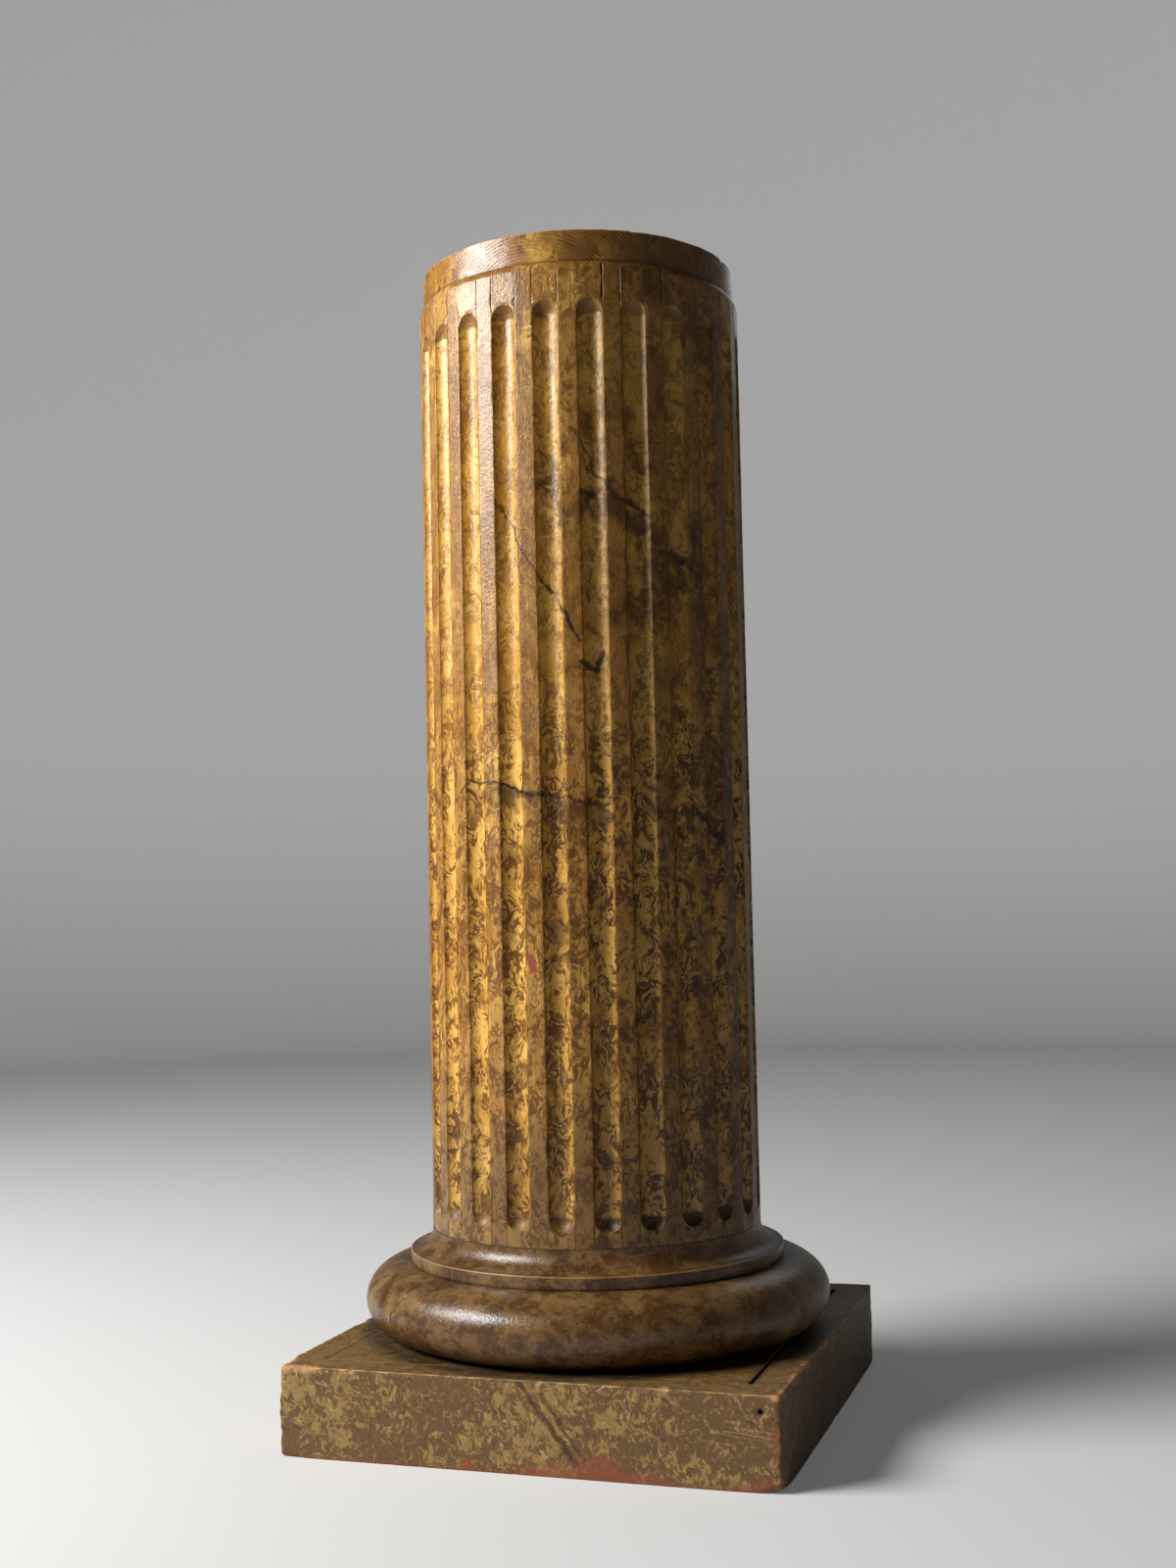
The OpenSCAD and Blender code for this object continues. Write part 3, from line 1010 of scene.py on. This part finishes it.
def strokes(net, along, height, lines, unit):
    """The greatest mask of several strokes, given as (from, from height, to, to height, width, strength)
    in units along and millimetres."""
    total = None
    for from_along, from_height, to_along, to_height, width, strength in lines:
        one = net.group(
            stroke, Along=along, Height=height, StartAlong=from_along * unit, StartHeight=from_height * MM,
            EndAlong=to_along * unit, EndHeight=to_height * MM, Width=width * MM,
        )["Mask"] * strength
        total = one if total is None else net.most(total, one)
    return total


# Marks on the shaft: from angle and height, to angle and height, width, strength. Degrees and millimetres.
VEINS = (
    (-13, 808, -6, 778, 2.2, 0.86),
    (-6, 778, 0, 752, 1.4, 0.92),
    (0, 752, 9, 716, 1.9, 1),
    (9, 716, 16.5, 682, 2.4, 1),
    (17, 664, 21, 658, 4.3, 1),
    (21, 658, 24, 672, 3.5, 1),
    (19, 834, 23, 826, 2.2, 1),
    (23, 826, 30, 806, 2.7, 0.8),
    (30, 806, 35, 802, 3.4, 1),
    (35, 802, 41, 790, 2.4, 0.9),
    (17, 812, 22, 806, 3.6, 0.86),
    (15, 866, 22, 832, 2.2, 0.69),
    (-28, 566, -14, 563, 1.4, 0.92),
    (-14, 563, -8, 557, 1.6, 1),
    (-8, 557, 2, 551, 2.2, 1),
    (2, 551, 25, 541, 2.4, 0.8),
    (-34, 548, -27, 566, 1.6, 0.69),
    (54, 538, 71, 512, 5.4, 1),
    (55, 540, 55, 518, 4.1, 0.92),
    (50, 762, 62, 741, 6.0, 0.9),
    (-24, 735, -18, 712, 1.6, 0.57),
)
CLOUDS_AND_SHADE = (
    (-13, 555, -2, 545, 11.0, 0.8),
    (-2, 545, 24, 528, 15.0, 0.75),
    (-26, 556, -13, 552, 8.0, 0.5),
    (3, 842, 11, 790, 10.0, 0.8),
    (11, 790, 22, 800, 15.0, 0.8),
    (28, 812, 44, 758, 22.0, 0.85),
    (36, 716, 62, 752, 26.0, 0.85),
    (60, 790, 66, 540, 18.0, 0.7),
    (44, 560, 50, 430, 20.0, 0.6),
    (42, 352, 60, 286, 26.0, 0.7),
    (4, 470, 12, 392, 12.0, 0.6),
    (-13, 452, -7, 420, 10.0, 0.6),
    (74, 700, 80, 300, 18.0, 0.7),
    # The last two, at the top on the right away from the key lamp, are painted shade; the rest are dark
    # clouds of the marbling
    (30, 1006, 56, 985, 22.0, 0.6),
    (52, 1000, 74, 940, 30.0, 0.7),
)
SCRATCHES = (
    (-20.5, 822, -17.5, 824, 1.1, 0.9),
    (-1.2, 958.5, 1.6, 959, 1.2, 0.9),
    (-26, 811, -24, 803, 0.9, 0.6),
)
RED_SPOT = ((-2.6, 411, -1.6, 402, 5.5, 1.0),)
# Height that parts the upper scoops from the lower ones
MID_SHAFT = 0.6
# Growth rings of the cap disc: spacing, and how far below the disc the line lies that they run round
RING_STEP = 3.1 * MM
RING_DEPTH = 60 * MM


def shaft_marks(name):
    """Masks of the veins, dark clouds with some painted shade, scratches and red spot of the shaft, over
    angle and height.
    """
    net, _ = new_group(name, {}, ("Vein", "Cloud", "Scratch", "Spot"))

    def mask(at, lines):
        """The strokes' mask over the arc at the shaft's radius and the height of a place."""
        x, y, z = net.parts(at)
        return strokes(net, net.turn(x, y) * SHAFT_R, z, lines, math.radians(SHAFT_R))

    wavy = net.warped(net.warped(net.place(), 60.0, 0.012), 230.0, 0.0045)
    cloudy = net.warped(net.place(), 35.0, 0.045)
    plain = net.warped(net.place(), 260.0, 0.0025)
    return close_group(
        net,
        Vein=mask(wavy, VEINS) * net.step(net.noise(net.place(), 110.0, 2.0), 0.25, 0.5, 0.35, 1.0),
        Cloud=mask(cloudy, CLOUDS_AND_SHADE) * net.step(net.noise(cloudy, 70.0, 4.0, 0.6), 0.38, 0.56),
        Scratch=mask(plain, SCRATCHES),
        Spot=mask(plain, RED_SPOT),
    )


def varnish(name):
    """Relief and gloss of the varnish: orange peel, faint upright grain, dust and an uneven roughness."""
    inputs = {"Peel": 0.5, "Grain": 0.5, "Rough": 0.4, "Uneven": 0.1}
    net, source = new_group(name, inputs, ("Height", "Roughness"))
    upright = net.vector("MULTIPLY", net.place(), (1.0, 1.0, 0.045))
    height = net.noise(net.place(), 400.0, 2.0, 0.5) * source["Peel"]
    height = height + net.noise(upright, 900.0, 3.0, 0.6) * source["Grain"]
    height = height + net.noise(net.place(), 160.0, 2.0) * 0.5
    shift = (net.noise(net.place(), 22.0, 4.0, 0.6) - 0.5) * source["Uneven"]
    specks = net.step(net.noise(net.place(), 480.0, 1.0), 0.62, 0.72, 0.0, 0.12)
    return close_group(net, Height=height, Roughness=source["Rough"] + shift + specks)


def wear_and_dirt(name):
    """Wear and dirt with painted shade: a carried mask broken up by noise, and the carried mask of dirt
    and painted shade in faint runs.
    """
    net, source = new_group(name, {"Wear": 0.0, "Grime": 0.0, "Break": 0.5}, ("Wear", "Grime"))
    patchy = net.noise(net.place(), 75.0, 4.0, 0.65)
    level = patchy * 0.75 + net.noise(net.place(), 420.0, 2.0) * 0.25
    level = level + (source["Wear"] - source["Break"])
    worn = net.step(level, 0.62, 0.8) * net.step(source["Wear"], 0.12, 0.4)
    dirt = source["Grime"] * net.step(patchy, 0.25, 0.6, 0.45, 1.0)
    return close_group(net, Wear=worn, Grime=dirt)


def aged(net, tone, colours, hold, wear, dirt, chip=None):
    """Bare wood over a tone where it is worn or chipped, and dirt and painted shade over both, each by its
    own strength.
    """
    marks = net.group(wear_and_dirt, Wear=net.mask("wear"), Grime=net.mask("grime"), Break=hold)
    tone = net.mix(marks["Wear"] * wear, tone, colours.bare)
    if chip is not None:
        tone = net.mix(chip, tone, colours.bare)
    return net.mix(marks["Grime"] * dirt, tone, colours.grime)


def surface(build, colours):
    """The material named after its build function, which gives the colour, roughness, relief and depth of
    relief for the one Principled shader."""
    name = build.__name__.replace("_", " ").capitalize()
    material = bpy.data.materials.get(name)
    if not material:
        material = bpy.data.materials.new(name)
        material.use_nodes = True
        net = Net(material.node_tree)
        shader = material.node_tree.nodes["Principled BSDF"].inputs
        shader["Specular IOR Level"].default_value = 0.42
        tone, rough, relief, depth = build(net, colours)
        net.feed(shader["Base Color"], tone)
        net.feed(shader["Roughness"], rough)
        net.feed(shader["Normal"], net.add("Bump", {"Height": relief, "Strength": 0.8, "Distance": depth}))
    return material


def shaft_paint(net, colours, curls, sparks, glaze_level):
    """Paint of the staves: marbling that grows darker and more curled towards the foot, a glaze laid over
    it in upright streaks, the shaft's marks, wear and darker edges and creases, and painted shade that
    darkens and browns the right side, away from the key lamp."""
    x, _, height = net.parts(net.place())
    low_down = net.step(height + net.noise(net.place(), 11.0, 3.0) * 0.16, 0.78, 0.6)
    upright = net.vector("MULTIPLY", net.place(), (1.0, 1.0, 0.06))
    streaks = net.noise(net.warped(upright, 30.0, 0.006), 170.0, 3.0, 0.65)
    blotchy = net.noise(net.warped(net.place(), 30.0, 0.03), 26.0, 4.0, 0.65)
    foot = net.step(height, SHAFT_TOP - 0.66, BASE_TOP + 0.05)
    cover = net.step(streaks * 0.4 + blotchy * 0.6, 0.36, 0.5) * glaze_level
    cover = cover * net.between(low_down, 1.0, 0.85)
    cover = net.most(cover, foot * (glaze_level * 0.95))
    # Painted shade: the paint grows darker and browner towards the right side, away from the key lamp
    shaded = net.step(x, -0.06, 0.1)
    dark = net.mix(net.most(shaded, foot * 0.6), colours.sienna, colours.brown)
    ground = net.mix(shaded * 0.45, colours.ochre, colours.sienna)
    light = net.mix(shaded * 0.3, colours.gold, colours.sienna)
    glaze = net.mix(shaded * 0.5, net.mix(foot, colours.mauve, colours.umber), colours.sienna)
    light_cover = cover * net.between(foot, 0.7, 0.92)
    light = net.mix(foot * 0.3, light, colours.olive)
    ground = net.mix(foot * 0.3, ground, colours.umber)
    ground = net.mix(cover, ground, glaze)
    light = net.mix(light_cover, light, glaze)
    clouds = net.between(low_down, 0.55, 1.0) * 0.85
    curls = net.between(low_down, 0.6, 1.0) * curls
    marbled = net.group(
        marbled_paint, Ground=ground, Light=light, Dark=dark,
        Clouds=clouds, Curls=curls, Sparks=sparks, Rise=0.7,
    )
    marks = net.group(shaft_marks)
    # Dark clouds of the marbling, with painted shade at the top right
    tone = net.mix(marks["Cloud"] * 0.92, marbled["Colour"], colours.brown)
    tone = net.mix(marks["Vein"] * 0.9, tone, colours.vein)
    tone = net.mix(marks["Scratch"], tone, colours.gold)
    tone = net.mix(marks["Spot"], tone, colours.red)
    tone = aged(net, tone, colours, 0.55, 0.7, 0.75)
    coat = net.group(varnish, Peel=0.6, Grain=0.5, Rough=0.33, Uneven=0.3)
    return tone, coat["Roughness"], coat["Height"] - marbled["Curl"] * 0.25 - marks["Scratch"]


def flute_paint(net, colours):
    """Ochre marbling in the coves; brown glaze on the plain ends; each scooped end in a tone of its own,
    and painted shadow in the lower ones on the right.
    """
    plain = net.math("SUBTRACT", 1.0, net.mask("hollow"), clamp=True)
    tone, rough, relief = shaft_paint(net, colours, 0.95, 0.55, plain * 0.8)
    x, y, z = net.parts(net.place())
    number = net.math("ROUND", net.turn(x, y) * (FLUTES / (2 * math.pi)))
    number = number + net.math("GREATER_THAN", z, MID_SHAFT) * 40.0
    pick = net.add("TexWhiteNoise", {"W": number}, "Value", noise_dimensions="1D")
    pocket = net.mix(pick, colours.umber, colours.mauve)
    dark = net.step(net.noise(net.place(), 120.0, 3.0), 0.4, 0.62, 0.0, 0.5)
    # Painted shadow: the lower scoops on the right side are darkened towards the vein colour
    pocket_shadow = net.step(x, -0.02, 0.07, 0.0, 0.9) * net.math("LESS_THAN", z, MID_SHAFT)
    pocket = net.mix(pocket_shadow, net.mix(dark, pocket, colours.brown), colours.vein)
    inside = net.mask("pocket")
    return net.mix(inside * net.most(pocket_shadow, 0.72), tone, pocket), rough + inside * 0.15, relief, 0.5 * MM


def fillet_paint(net, colours):
    """Brown and mauve glaze over the ochre on the plain staves."""
    return (*shaft_paint(net, colours, 0.85, 0.4, 0.95), 0.5 * MM)


def base_paint(net, colours):
    """Umber marbling under satin varnish on the torus and the flare ring."""
    tone = net.group(
        marbled_paint, Ground=colours.umber, Light=colours.stone, Dark=colours.brown,
        Clouds=0.7, Curls=0.5, Sparks=0.25, Size=0.9, Rise=1.3,
    )["Colour"]
    smoky = net.noise(net.warped(net.place(), 20.0, 0.04), 30.0, 6.0, 0.65)
    tone = net.mix(net.step(smoky, 0.48, 0.6, 0.0, 0.68), tone, colours.brown)
    tone = net.mix(net.step(smoky, 0.48, 0.36, 0.0, 0.22), tone, colours.olive)
    tone = aged(net, tone, colours, 0.4, 0.45, 0.85)
    specks = net.step(net.noise(net.place(), 330.0, 1.0), 0.72, 0.78, 0.0, 0.6)
    tone = net.mix(specks, tone, colours.olive)
    coat = net.group(varnish, Peel=0.9, Grain=0.1, Rough=0.31, Uneven=0.25)
    return tone, coat["Roughness"], coat["Height"], 0.35 * MM


def cap_wood(net, colours):
    """Stained disc: growth rings about a line that runs from front to back below the disc, seen as arcs on
    its rim, under brown mottling, and painted shade that darkens its right side."""
    across, _, height = net.parts(net.warped(net.place(), 16.0, 0.006))
    drop = height - (SHAFT_TOP - RING_DEPTH)
    ring = net.math("SQRT", net.math("POWER", across, 2.0) + net.math("POWER", drop, 2.0))
    rings = net.step(net.math("SINE", ring * (2 * math.pi / RING_STEP)), 0.1, 0.95)
    rings = rings * net.step(net.noise(net.place(), 60.0, 3.0), 0.35, 0.65)
    tone = net.group(
        marbled_paint, Ground=colours.ochre, Light=colours.gold, Dark=colours.brown,
        Clouds=0.95, Curls=0.35, Sparks=0.25, Size=0.8, Rise=1.0,
    )["Colour"]
    cover = net.step(net.noise(net.warped(net.place(), 20.0, 0.04), 26.0, 4.0, 0.62), 0.38, 0.6, 0.15, 0.9)
    tone = net.mix(cover, tone, net.mix(rings, colours.mauve, colours.sienna))
    # Painted shade: the disc grows darker towards its right side, away from the key lamp
    tone = net.mix(net.step(net.parts(net.place())[0], -0.04, 0.1, 0.0, 0.6), tone, colours.brown)
    tone = aged(net, net.mix(rings * 0.35, tone, colours.brown), colours, 0.45, 0.85, 0.7)
    coat = net.group(varnish, Peel=0.5, Grain=0.0, Rough=0.3, Uneven=0.3)
    return tone, coat["Roughness"], coat["Height"] - rings * 0.7, 0.4 * MM


# Marks on the plinth's front: from place and height, to place and height, width, strength. Millimetres.
PLINTH_VEINS = (
    (-1, 74, 20, 46, 3.2, 0.9),
    (20, 46, 46, 13, 4.2, 0.95),
    (18, 64, 54, 16, 2.6, 0.8),
    (30, 66, 58, 34, 1.6, 0.5),
)
PLINTH_SCRATCHES = (
    (168, 46, 209, 42, 0.7, 0.9),
    (176, 49, 212, 46, 0.6, 0.8),
    (170, 43, 200, 40, 0.5, 0.6),
    (65, 70, 72, 75, 1.0, 0.9),
    (150, 38, 176, 35, 0.6, 0.6),
    (-96, 44, -88, 24, 0.8, 0.4),
)


def plinth_paint(net, colours):
    """Jagged patches of three tones with brush marks, red ground along worn foot and corners, bare wood on
    rubbed edges and chips, two dark veins across the front, painted light that makes the top lighter and
    painted shade on the right face."""
    x, y, z = net.parts(net.place())
    slanted = net.warped(net.place(), 58.0, 0.018)
    jagged = net.warped(slanted, 210.0, 0.006)
    warped_x, warped_y, warped_z = net.parts(slanted)
    side = warped_x + warped_y
    brush = net.joined(side + warped_z * 0.5, side * 0.12 - warped_z * 0.24)
    brushed = net.noise(brush, 380.0, 2.0, 0.7)
    grain = (brushed - 0.5) * 0.5
    patchy = (net.noise(net.place(), 17.0, 2.0) - 0.5) * 0.6
    first = net.noise(jagged, 118.0, 3.0, 0.68) + (grain + patchy)
    second = net.noise(net.vector("ADD", jagged, (0.4, 0.1, 0.8)), 95.0, 4.0, 0.7) + grain
    fine = net.noise(jagged, 230.0, 3.0, 0.65)
    upright = net.step(z, PLINTH_H - 1 * MM, PLINTH_H - 3 * MM)
    strength = net.between(upright, 0.5, 1.0)
    # Painted light: the top gets a lighter, more olive ground than the upright faces
    lit_top_ground = net.mix(net.step(second, 0.38, 0.62, 0.75, 0.15), colours.stone, colours.olive)
    ground = net.mix(upright, lit_top_ground, colours.stone)
    shade = net.mix(net.step(fine, 0.35, 0.65, 0.1, 0.6), colours.umber, colours.brown)
    tone = net.mix(net.step(second, 0.47, 0.55) * strength, ground, shade)
    light = net.step(first, 0.52, 0.6) * (strength * 0.85)
    tone = net.mix(light * net.step(brushed, 0.3, 0.62, 0.55, 1.0), tone, colours.olive)
    tone = net.mix(net.step(second, 0.4, 0.34, 0.0, 0.55), tone, colours.brown)
    tone = net.mix(net.step(fine, 0.55, 0.66, 0.0, 0.25) * upright, tone, colours.gold)
    tone = net.mix(net.step(fine, 0.44, 0.34, 0.0, 0.4), tone, colours.brown)
    tone = net.mix(net.between(upright, 0.3, 0.0), tone, colours.brown)
    front = net.step(y, 3 * MM - PLINTH_HALF, 2 * MM - PLINTH_HALF)
    wavy_x, _, wavy_z = net.parts(net.warped(net.place(), 110.0, 0.006))
    vein = strokes(net, wavy_x, wavy_z, PLINTH_VEINS, MM) * front
    tone = net.mix(vein * net.step(fine, 0.3, 0.55, 0.4, 1.0), tone, colours.brown)
    scratch = strokes(net, x, z, PLINTH_SCRATCHES, MM) * front
    tone = net.mix(scratch * 0.6, tone, colours.bare)
    ragged = net.noise(net.vector("MULTIPLY", slanted, (0.3, 0.3, 1.6)), 170.0, 4.0, 0.75)
    red = net.step(net.mask("red") + (ragged - 0.5) * 3.4, 0.3, 0.85)
    red = red * net.step(net.mask("red"), 0.02, 0.15)
    tone = net.mix(red * net.step(fine, 0.3, 0.65, 0.55, 0.85), tone, colours.red)
    # Painted shade darkens the right face, away from the key lamp
    right_face_shade = net.step(x, PLINTH_HALF - 4 * MM, PLINTH_HALF - 1 * MM, 0.0, 0.5)
    tone = net.mix(right_face_shade, tone, colours.brown)
    chip = net.mask("chip") * net.step(fine, 0.35, 0.6, 0.25, 0.9)
    tone = aged(net, tone, colours, 0.38, 0.7, 0.85, chip)
    coat = net.group(varnish, Peel=0.4, Grain=0.0, Rough=0.5, Uneven=0.3)
    relief = coat["Height"] + light * 0.3 + brushed * 0.5 - scratch * 0.8
    return tone, coat["Roughness"] + net.most(red, chip) * 0.2, relief, 0.5 * MM


# Operators


class Build:
    """What the operators that build pieces share."""

    bl_options = {"REGISTER", "UNDO"}


class COLUMN_OT_plinth_boards(Build, bpy.types.Operator):
    """Builds the four mitred boards of the plinth"""

    bl_idname = "column.plinth_boards"
    bl_label = "Plinth boards"

    def execute(self, context):
        material = surface(plinth_paint, context.scene.column_colours)
        for side in range(len(BOARDS)):
            plinth_board(side, context.scene.column_sizes, material)
        return {"FINISHED"}


class COLUMN_OT_plinth_panel(Build, bpy.types.Operator):
    """Builds the panel let in between the boards"""

    bl_idname = "column.plinth_panel"
    bl_label = "Plinth panel"

    def execute(self, context):
        panel_piece(surface(plinth_paint, context.scene.column_colours))
        return {"FINISHED"}


class COLUMN_OT_torus(Build, bpy.types.Operator):
    """Builds the torus"""

    bl_idname = "column.torus"
    bl_label = "Torus"

    def execute(self, context):
        torus_piece(context.scene.column_sizes, surface(base_paint, context.scene.column_colours))
        return {"FINISHED"}


class COLUMN_OT_flare_ring(Build, bpy.types.Operator):
    """Builds the ring with the band and the flare"""

    bl_idname = "column.flare_ring"
    bl_label = "Flare ring"

    def execute(self, context):
        flare_piece(context.scene.column_sizes, surface(base_paint, context.scene.column_colours))
        return {"FINISHED"}


class COLUMN_OT_flute_staves(Build, bpy.types.Operator):
    """Builds the staves that carry the flutes"""

    bl_idname = "column.flute_staves"
    bl_label = "Flute staves"

    def execute(self, context):
        material = surface(flute_paint, context.scene.column_colours)
        for number in range(FLUTES):
            flute_stave(number, context.scene.column_sizes, material)
        return {"FINISHED"}


class COLUMN_OT_fillet_staves(Build, bpy.types.Operator):
    """Builds the plain staves between the flutes"""

    bl_idname = "column.fillet_staves"
    bl_label = "Fillet staves"

    def execute(self, context):
        material = surface(fillet_paint, context.scene.column_colours)
        for number in range(FLUTES):
            fillet_stave(number, context.scene.column_sizes, material)
        return {"FINISHED"}


class COLUMN_OT_cap_disc(Build, bpy.types.Operator):
    """Builds the disc that closes the shaft"""

    bl_idname = "column.cap_disc"
    bl_label = "Cap disc"

    def execute(self, context):
        cap_piece(surface(cap_wood, context.scene.column_colours))
        return {"FINISHED"}


# Radius of the flat floor, of the bend into the wall, and height of the wall
FLOOR_R = 4.2
BEND_R = 0.8
WALL_H = 4.6
# Strength of the rim lamp as a share of the key lamp's, film width in millimetres, height the lamps aim at
RIM_SHARE = 0.035
FILM_WIDTH = 36.0
AIM_H = 0.5


class COLUMN_OT_stage(bpy.types.Operator):
    """Sets the floor, the backdrop, the lamps and the camera"""

    bl_idname = "column.stage"
    bl_label = "Stage"

    def execute(self, context):
        settings = context.scene.column_stage
        self.floor(settings)
        self.lamps(context, settings)
        self.camera(context, settings)
        context.scene.view_settings.view_transform = "Standard"
        return {"FINISHED"}

    def floor(self, settings):
        """A flat round floor that curves up into a wall all round."""
        bend = np.linspace(0, math.pi / 2, 20)
        radius = np.concatenate([[0, 1, 2.5], FLOOR_R + BEND_R * np.sin(bend), [FLOOR_R + BEND_R] * 2])
        height = np.concatenate([[0, 0, 0], BEND_R * (1 - np.cos(bend)), [2.5, WALL_H]])
        turn = np.linspace(0, 2 * math.pi, 96, endpoint=False)
        points = around(radius[:, None], height[:, None], turn[None, :])
        mesh = bpy.data.meshes.new("floor")
        mesh.from_pydata(points.reshape(-1, 3).tolist(), [], grid_faces(len(radius), len(turn)))
        mesh.shade_smooth()
        material = bpy.data.materials.new("Floor")
        material.use_nodes = True
        shader = material.node_tree.nodes["Principled BSDF"].inputs
        net = Net(material.node_tree)
        height = net.parts(net.place())[2]
        net.feed(shader["Base Color"], net.mix(net.step(height, 0.0, 1.2), settings.floor, settings.wall))
        shader["Roughness"].default_value = 0.75
        shader["Specular IOR Level"].default_value = 0.2
        seen, glossy, through = (
            net.add("LightPath", {}, f"Is {kind} Ray") for kind in ("Camera", "Glossy", "Transmission")
        )
        seen = net.most(net.most(seen, glossy * 0.3), through)
        glow = net.step(height, 0.0, 1.2, settings.floor_glow, settings.glow)
        net.feed(shader["Emission Strength"], seen * glow)
        mesh.materials.append(material)
        made = bpy.data.objects.new("floor", mesh)
        bpy.context.scene.collection.objects.link(made)

    def lamps(self, context, settings):
        """A large soft key lamp to the left of the camera, a weak one high on the right, and even light
        all round."""
        for name, turn, distance, height, width, tall, power in (
            ("key", settings.camera_turn - math.radians(73), 2.6, 2.0, 1.8, 1.2, settings.key),
            ("rim", settings.camera_turn + math.radians(156), 3.2, 2.6, 1.6, 1.6, RIM_SHARE * settings.key),
        ):
            lamp = bpy.data.lights.new(name, "AREA")
            lamp.shape = "ELLIPSE"
            lamp.size = width
            lamp.size_y = tall
            lamp.energy = power
            made = bpy.data.objects.new(name, lamp)
            made.location = around(distance, height, turn)
            aim = mathutils.Vector((0, 0, AIM_H)) - made.location
            made.rotation_euler = aim.to_track_quat("-Z", "Y").to_euler()
            context.scene.collection.objects.link(made)
        world = bpy.data.worlds.new("Even light")
        world.use_nodes = True
        background = world.node_tree.nodes["Background"]
        background.inputs["Color"].default_value = (1.0, 1.0, 1.0, 1.0)
        background.inputs["Strength"].default_value = settings.fill
        context.scene.world = world

    def camera(self, context, settings):
        """A level camera turned about the axis, then tilted and rolled."""
        lens = bpy.data.cameras.new("camera")
        lens.lens = settings.camera_lens
        lens.sensor_width = FILM_WIDTH
        made = bpy.data.objects.new("camera", lens)
        turn, pitch, roll = settings.camera_turn, settings.camera_pitch, settings.camera_roll
        flat = math.cos(pitch)
        ahead = mathutils.Vector((-math.sin(turn) * flat, math.cos(turn) * flat, math.sin(pitch)))
        level = ahead.cross(mathutils.Vector((0, 0, 1))).normalized()
        above = level.cross(ahead)
        right = math.cos(roll) * level + math.sin(roll) * above
        up = right.cross(ahead)
        place = mathutils.Matrix((right, up, -ahead)).transposed().to_4x4()
        place.translation = around(settings.camera_distance, settings.camera_height, turn)
        made.matrix_world = place
        context.scene.collection.objects.link(made)
        context.scene.camera = made


class COLUMN_PT_panel(bpy.types.Panel):
    """Lists the builders and their sizes and colours"""

    bl_label = "Fluted column"
    bl_idname = "COLUMN_PT_panel"
    bl_space_type = "VIEW_3D"
    bl_region_type = "UI"
    bl_category = "Column"

    def draw(self, context):
        for operator in OPERATORS:
            self.layout.operator(operator.bl_idname)
        for name in GROUPS:
            box = self.layout.box()
            group = getattr(context.scene, name)
            for key in group.__annotations__:
                box.prop(group, key)


OPERATORS = (
    COLUMN_OT_plinth_boards,
    COLUMN_OT_plinth_panel,
    COLUMN_OT_torus,
    COLUMN_OT_flare_ring,
    COLUMN_OT_flute_staves,
    COLUMN_OT_fillet_staves,
    COLUMN_OT_cap_disc,
    COLUMN_OT_stage,
)
GROUPS = {"column_sizes": ColumnSizes, "column_colours": ColumnColours, "column_stage": StageSettings}


def register():
    """Registers the settings, the operators and the panel."""
    for name, group in GROUPS.items():
        bpy.utils.register_class(group)
        setattr(bpy.types.Scene, name, bpy.props.PointerProperty(type=group))
    for made in (*OPERATORS, COLUMN_PT_panel):
        bpy.utils.register_class(made)


def unregister():
    """Removes what register added."""
    for made in (COLUMN_PT_panel, *reversed(OPERATORS)):
        bpy.utils.unregister_class(made)
    for name, group in GROUPS.items():
        delattr(bpy.types.Scene, name)
        bpy.utils.unregister_class(group)


def main():
    """Builds every piece and the stage."""
    register()
    bpy.ops.column.plinth_boards()
    bpy.ops.column.plinth_panel()
    bpy.ops.column.torus()
    bpy.ops.column.flare_ring()
    bpy.ops.column.flute_staves()
    bpy.ops.column.fillet_staves()
    bpy.ops.column.cap_disc()
    bpy.ops.column.stage()


if __name__ == "__main__":
    main()
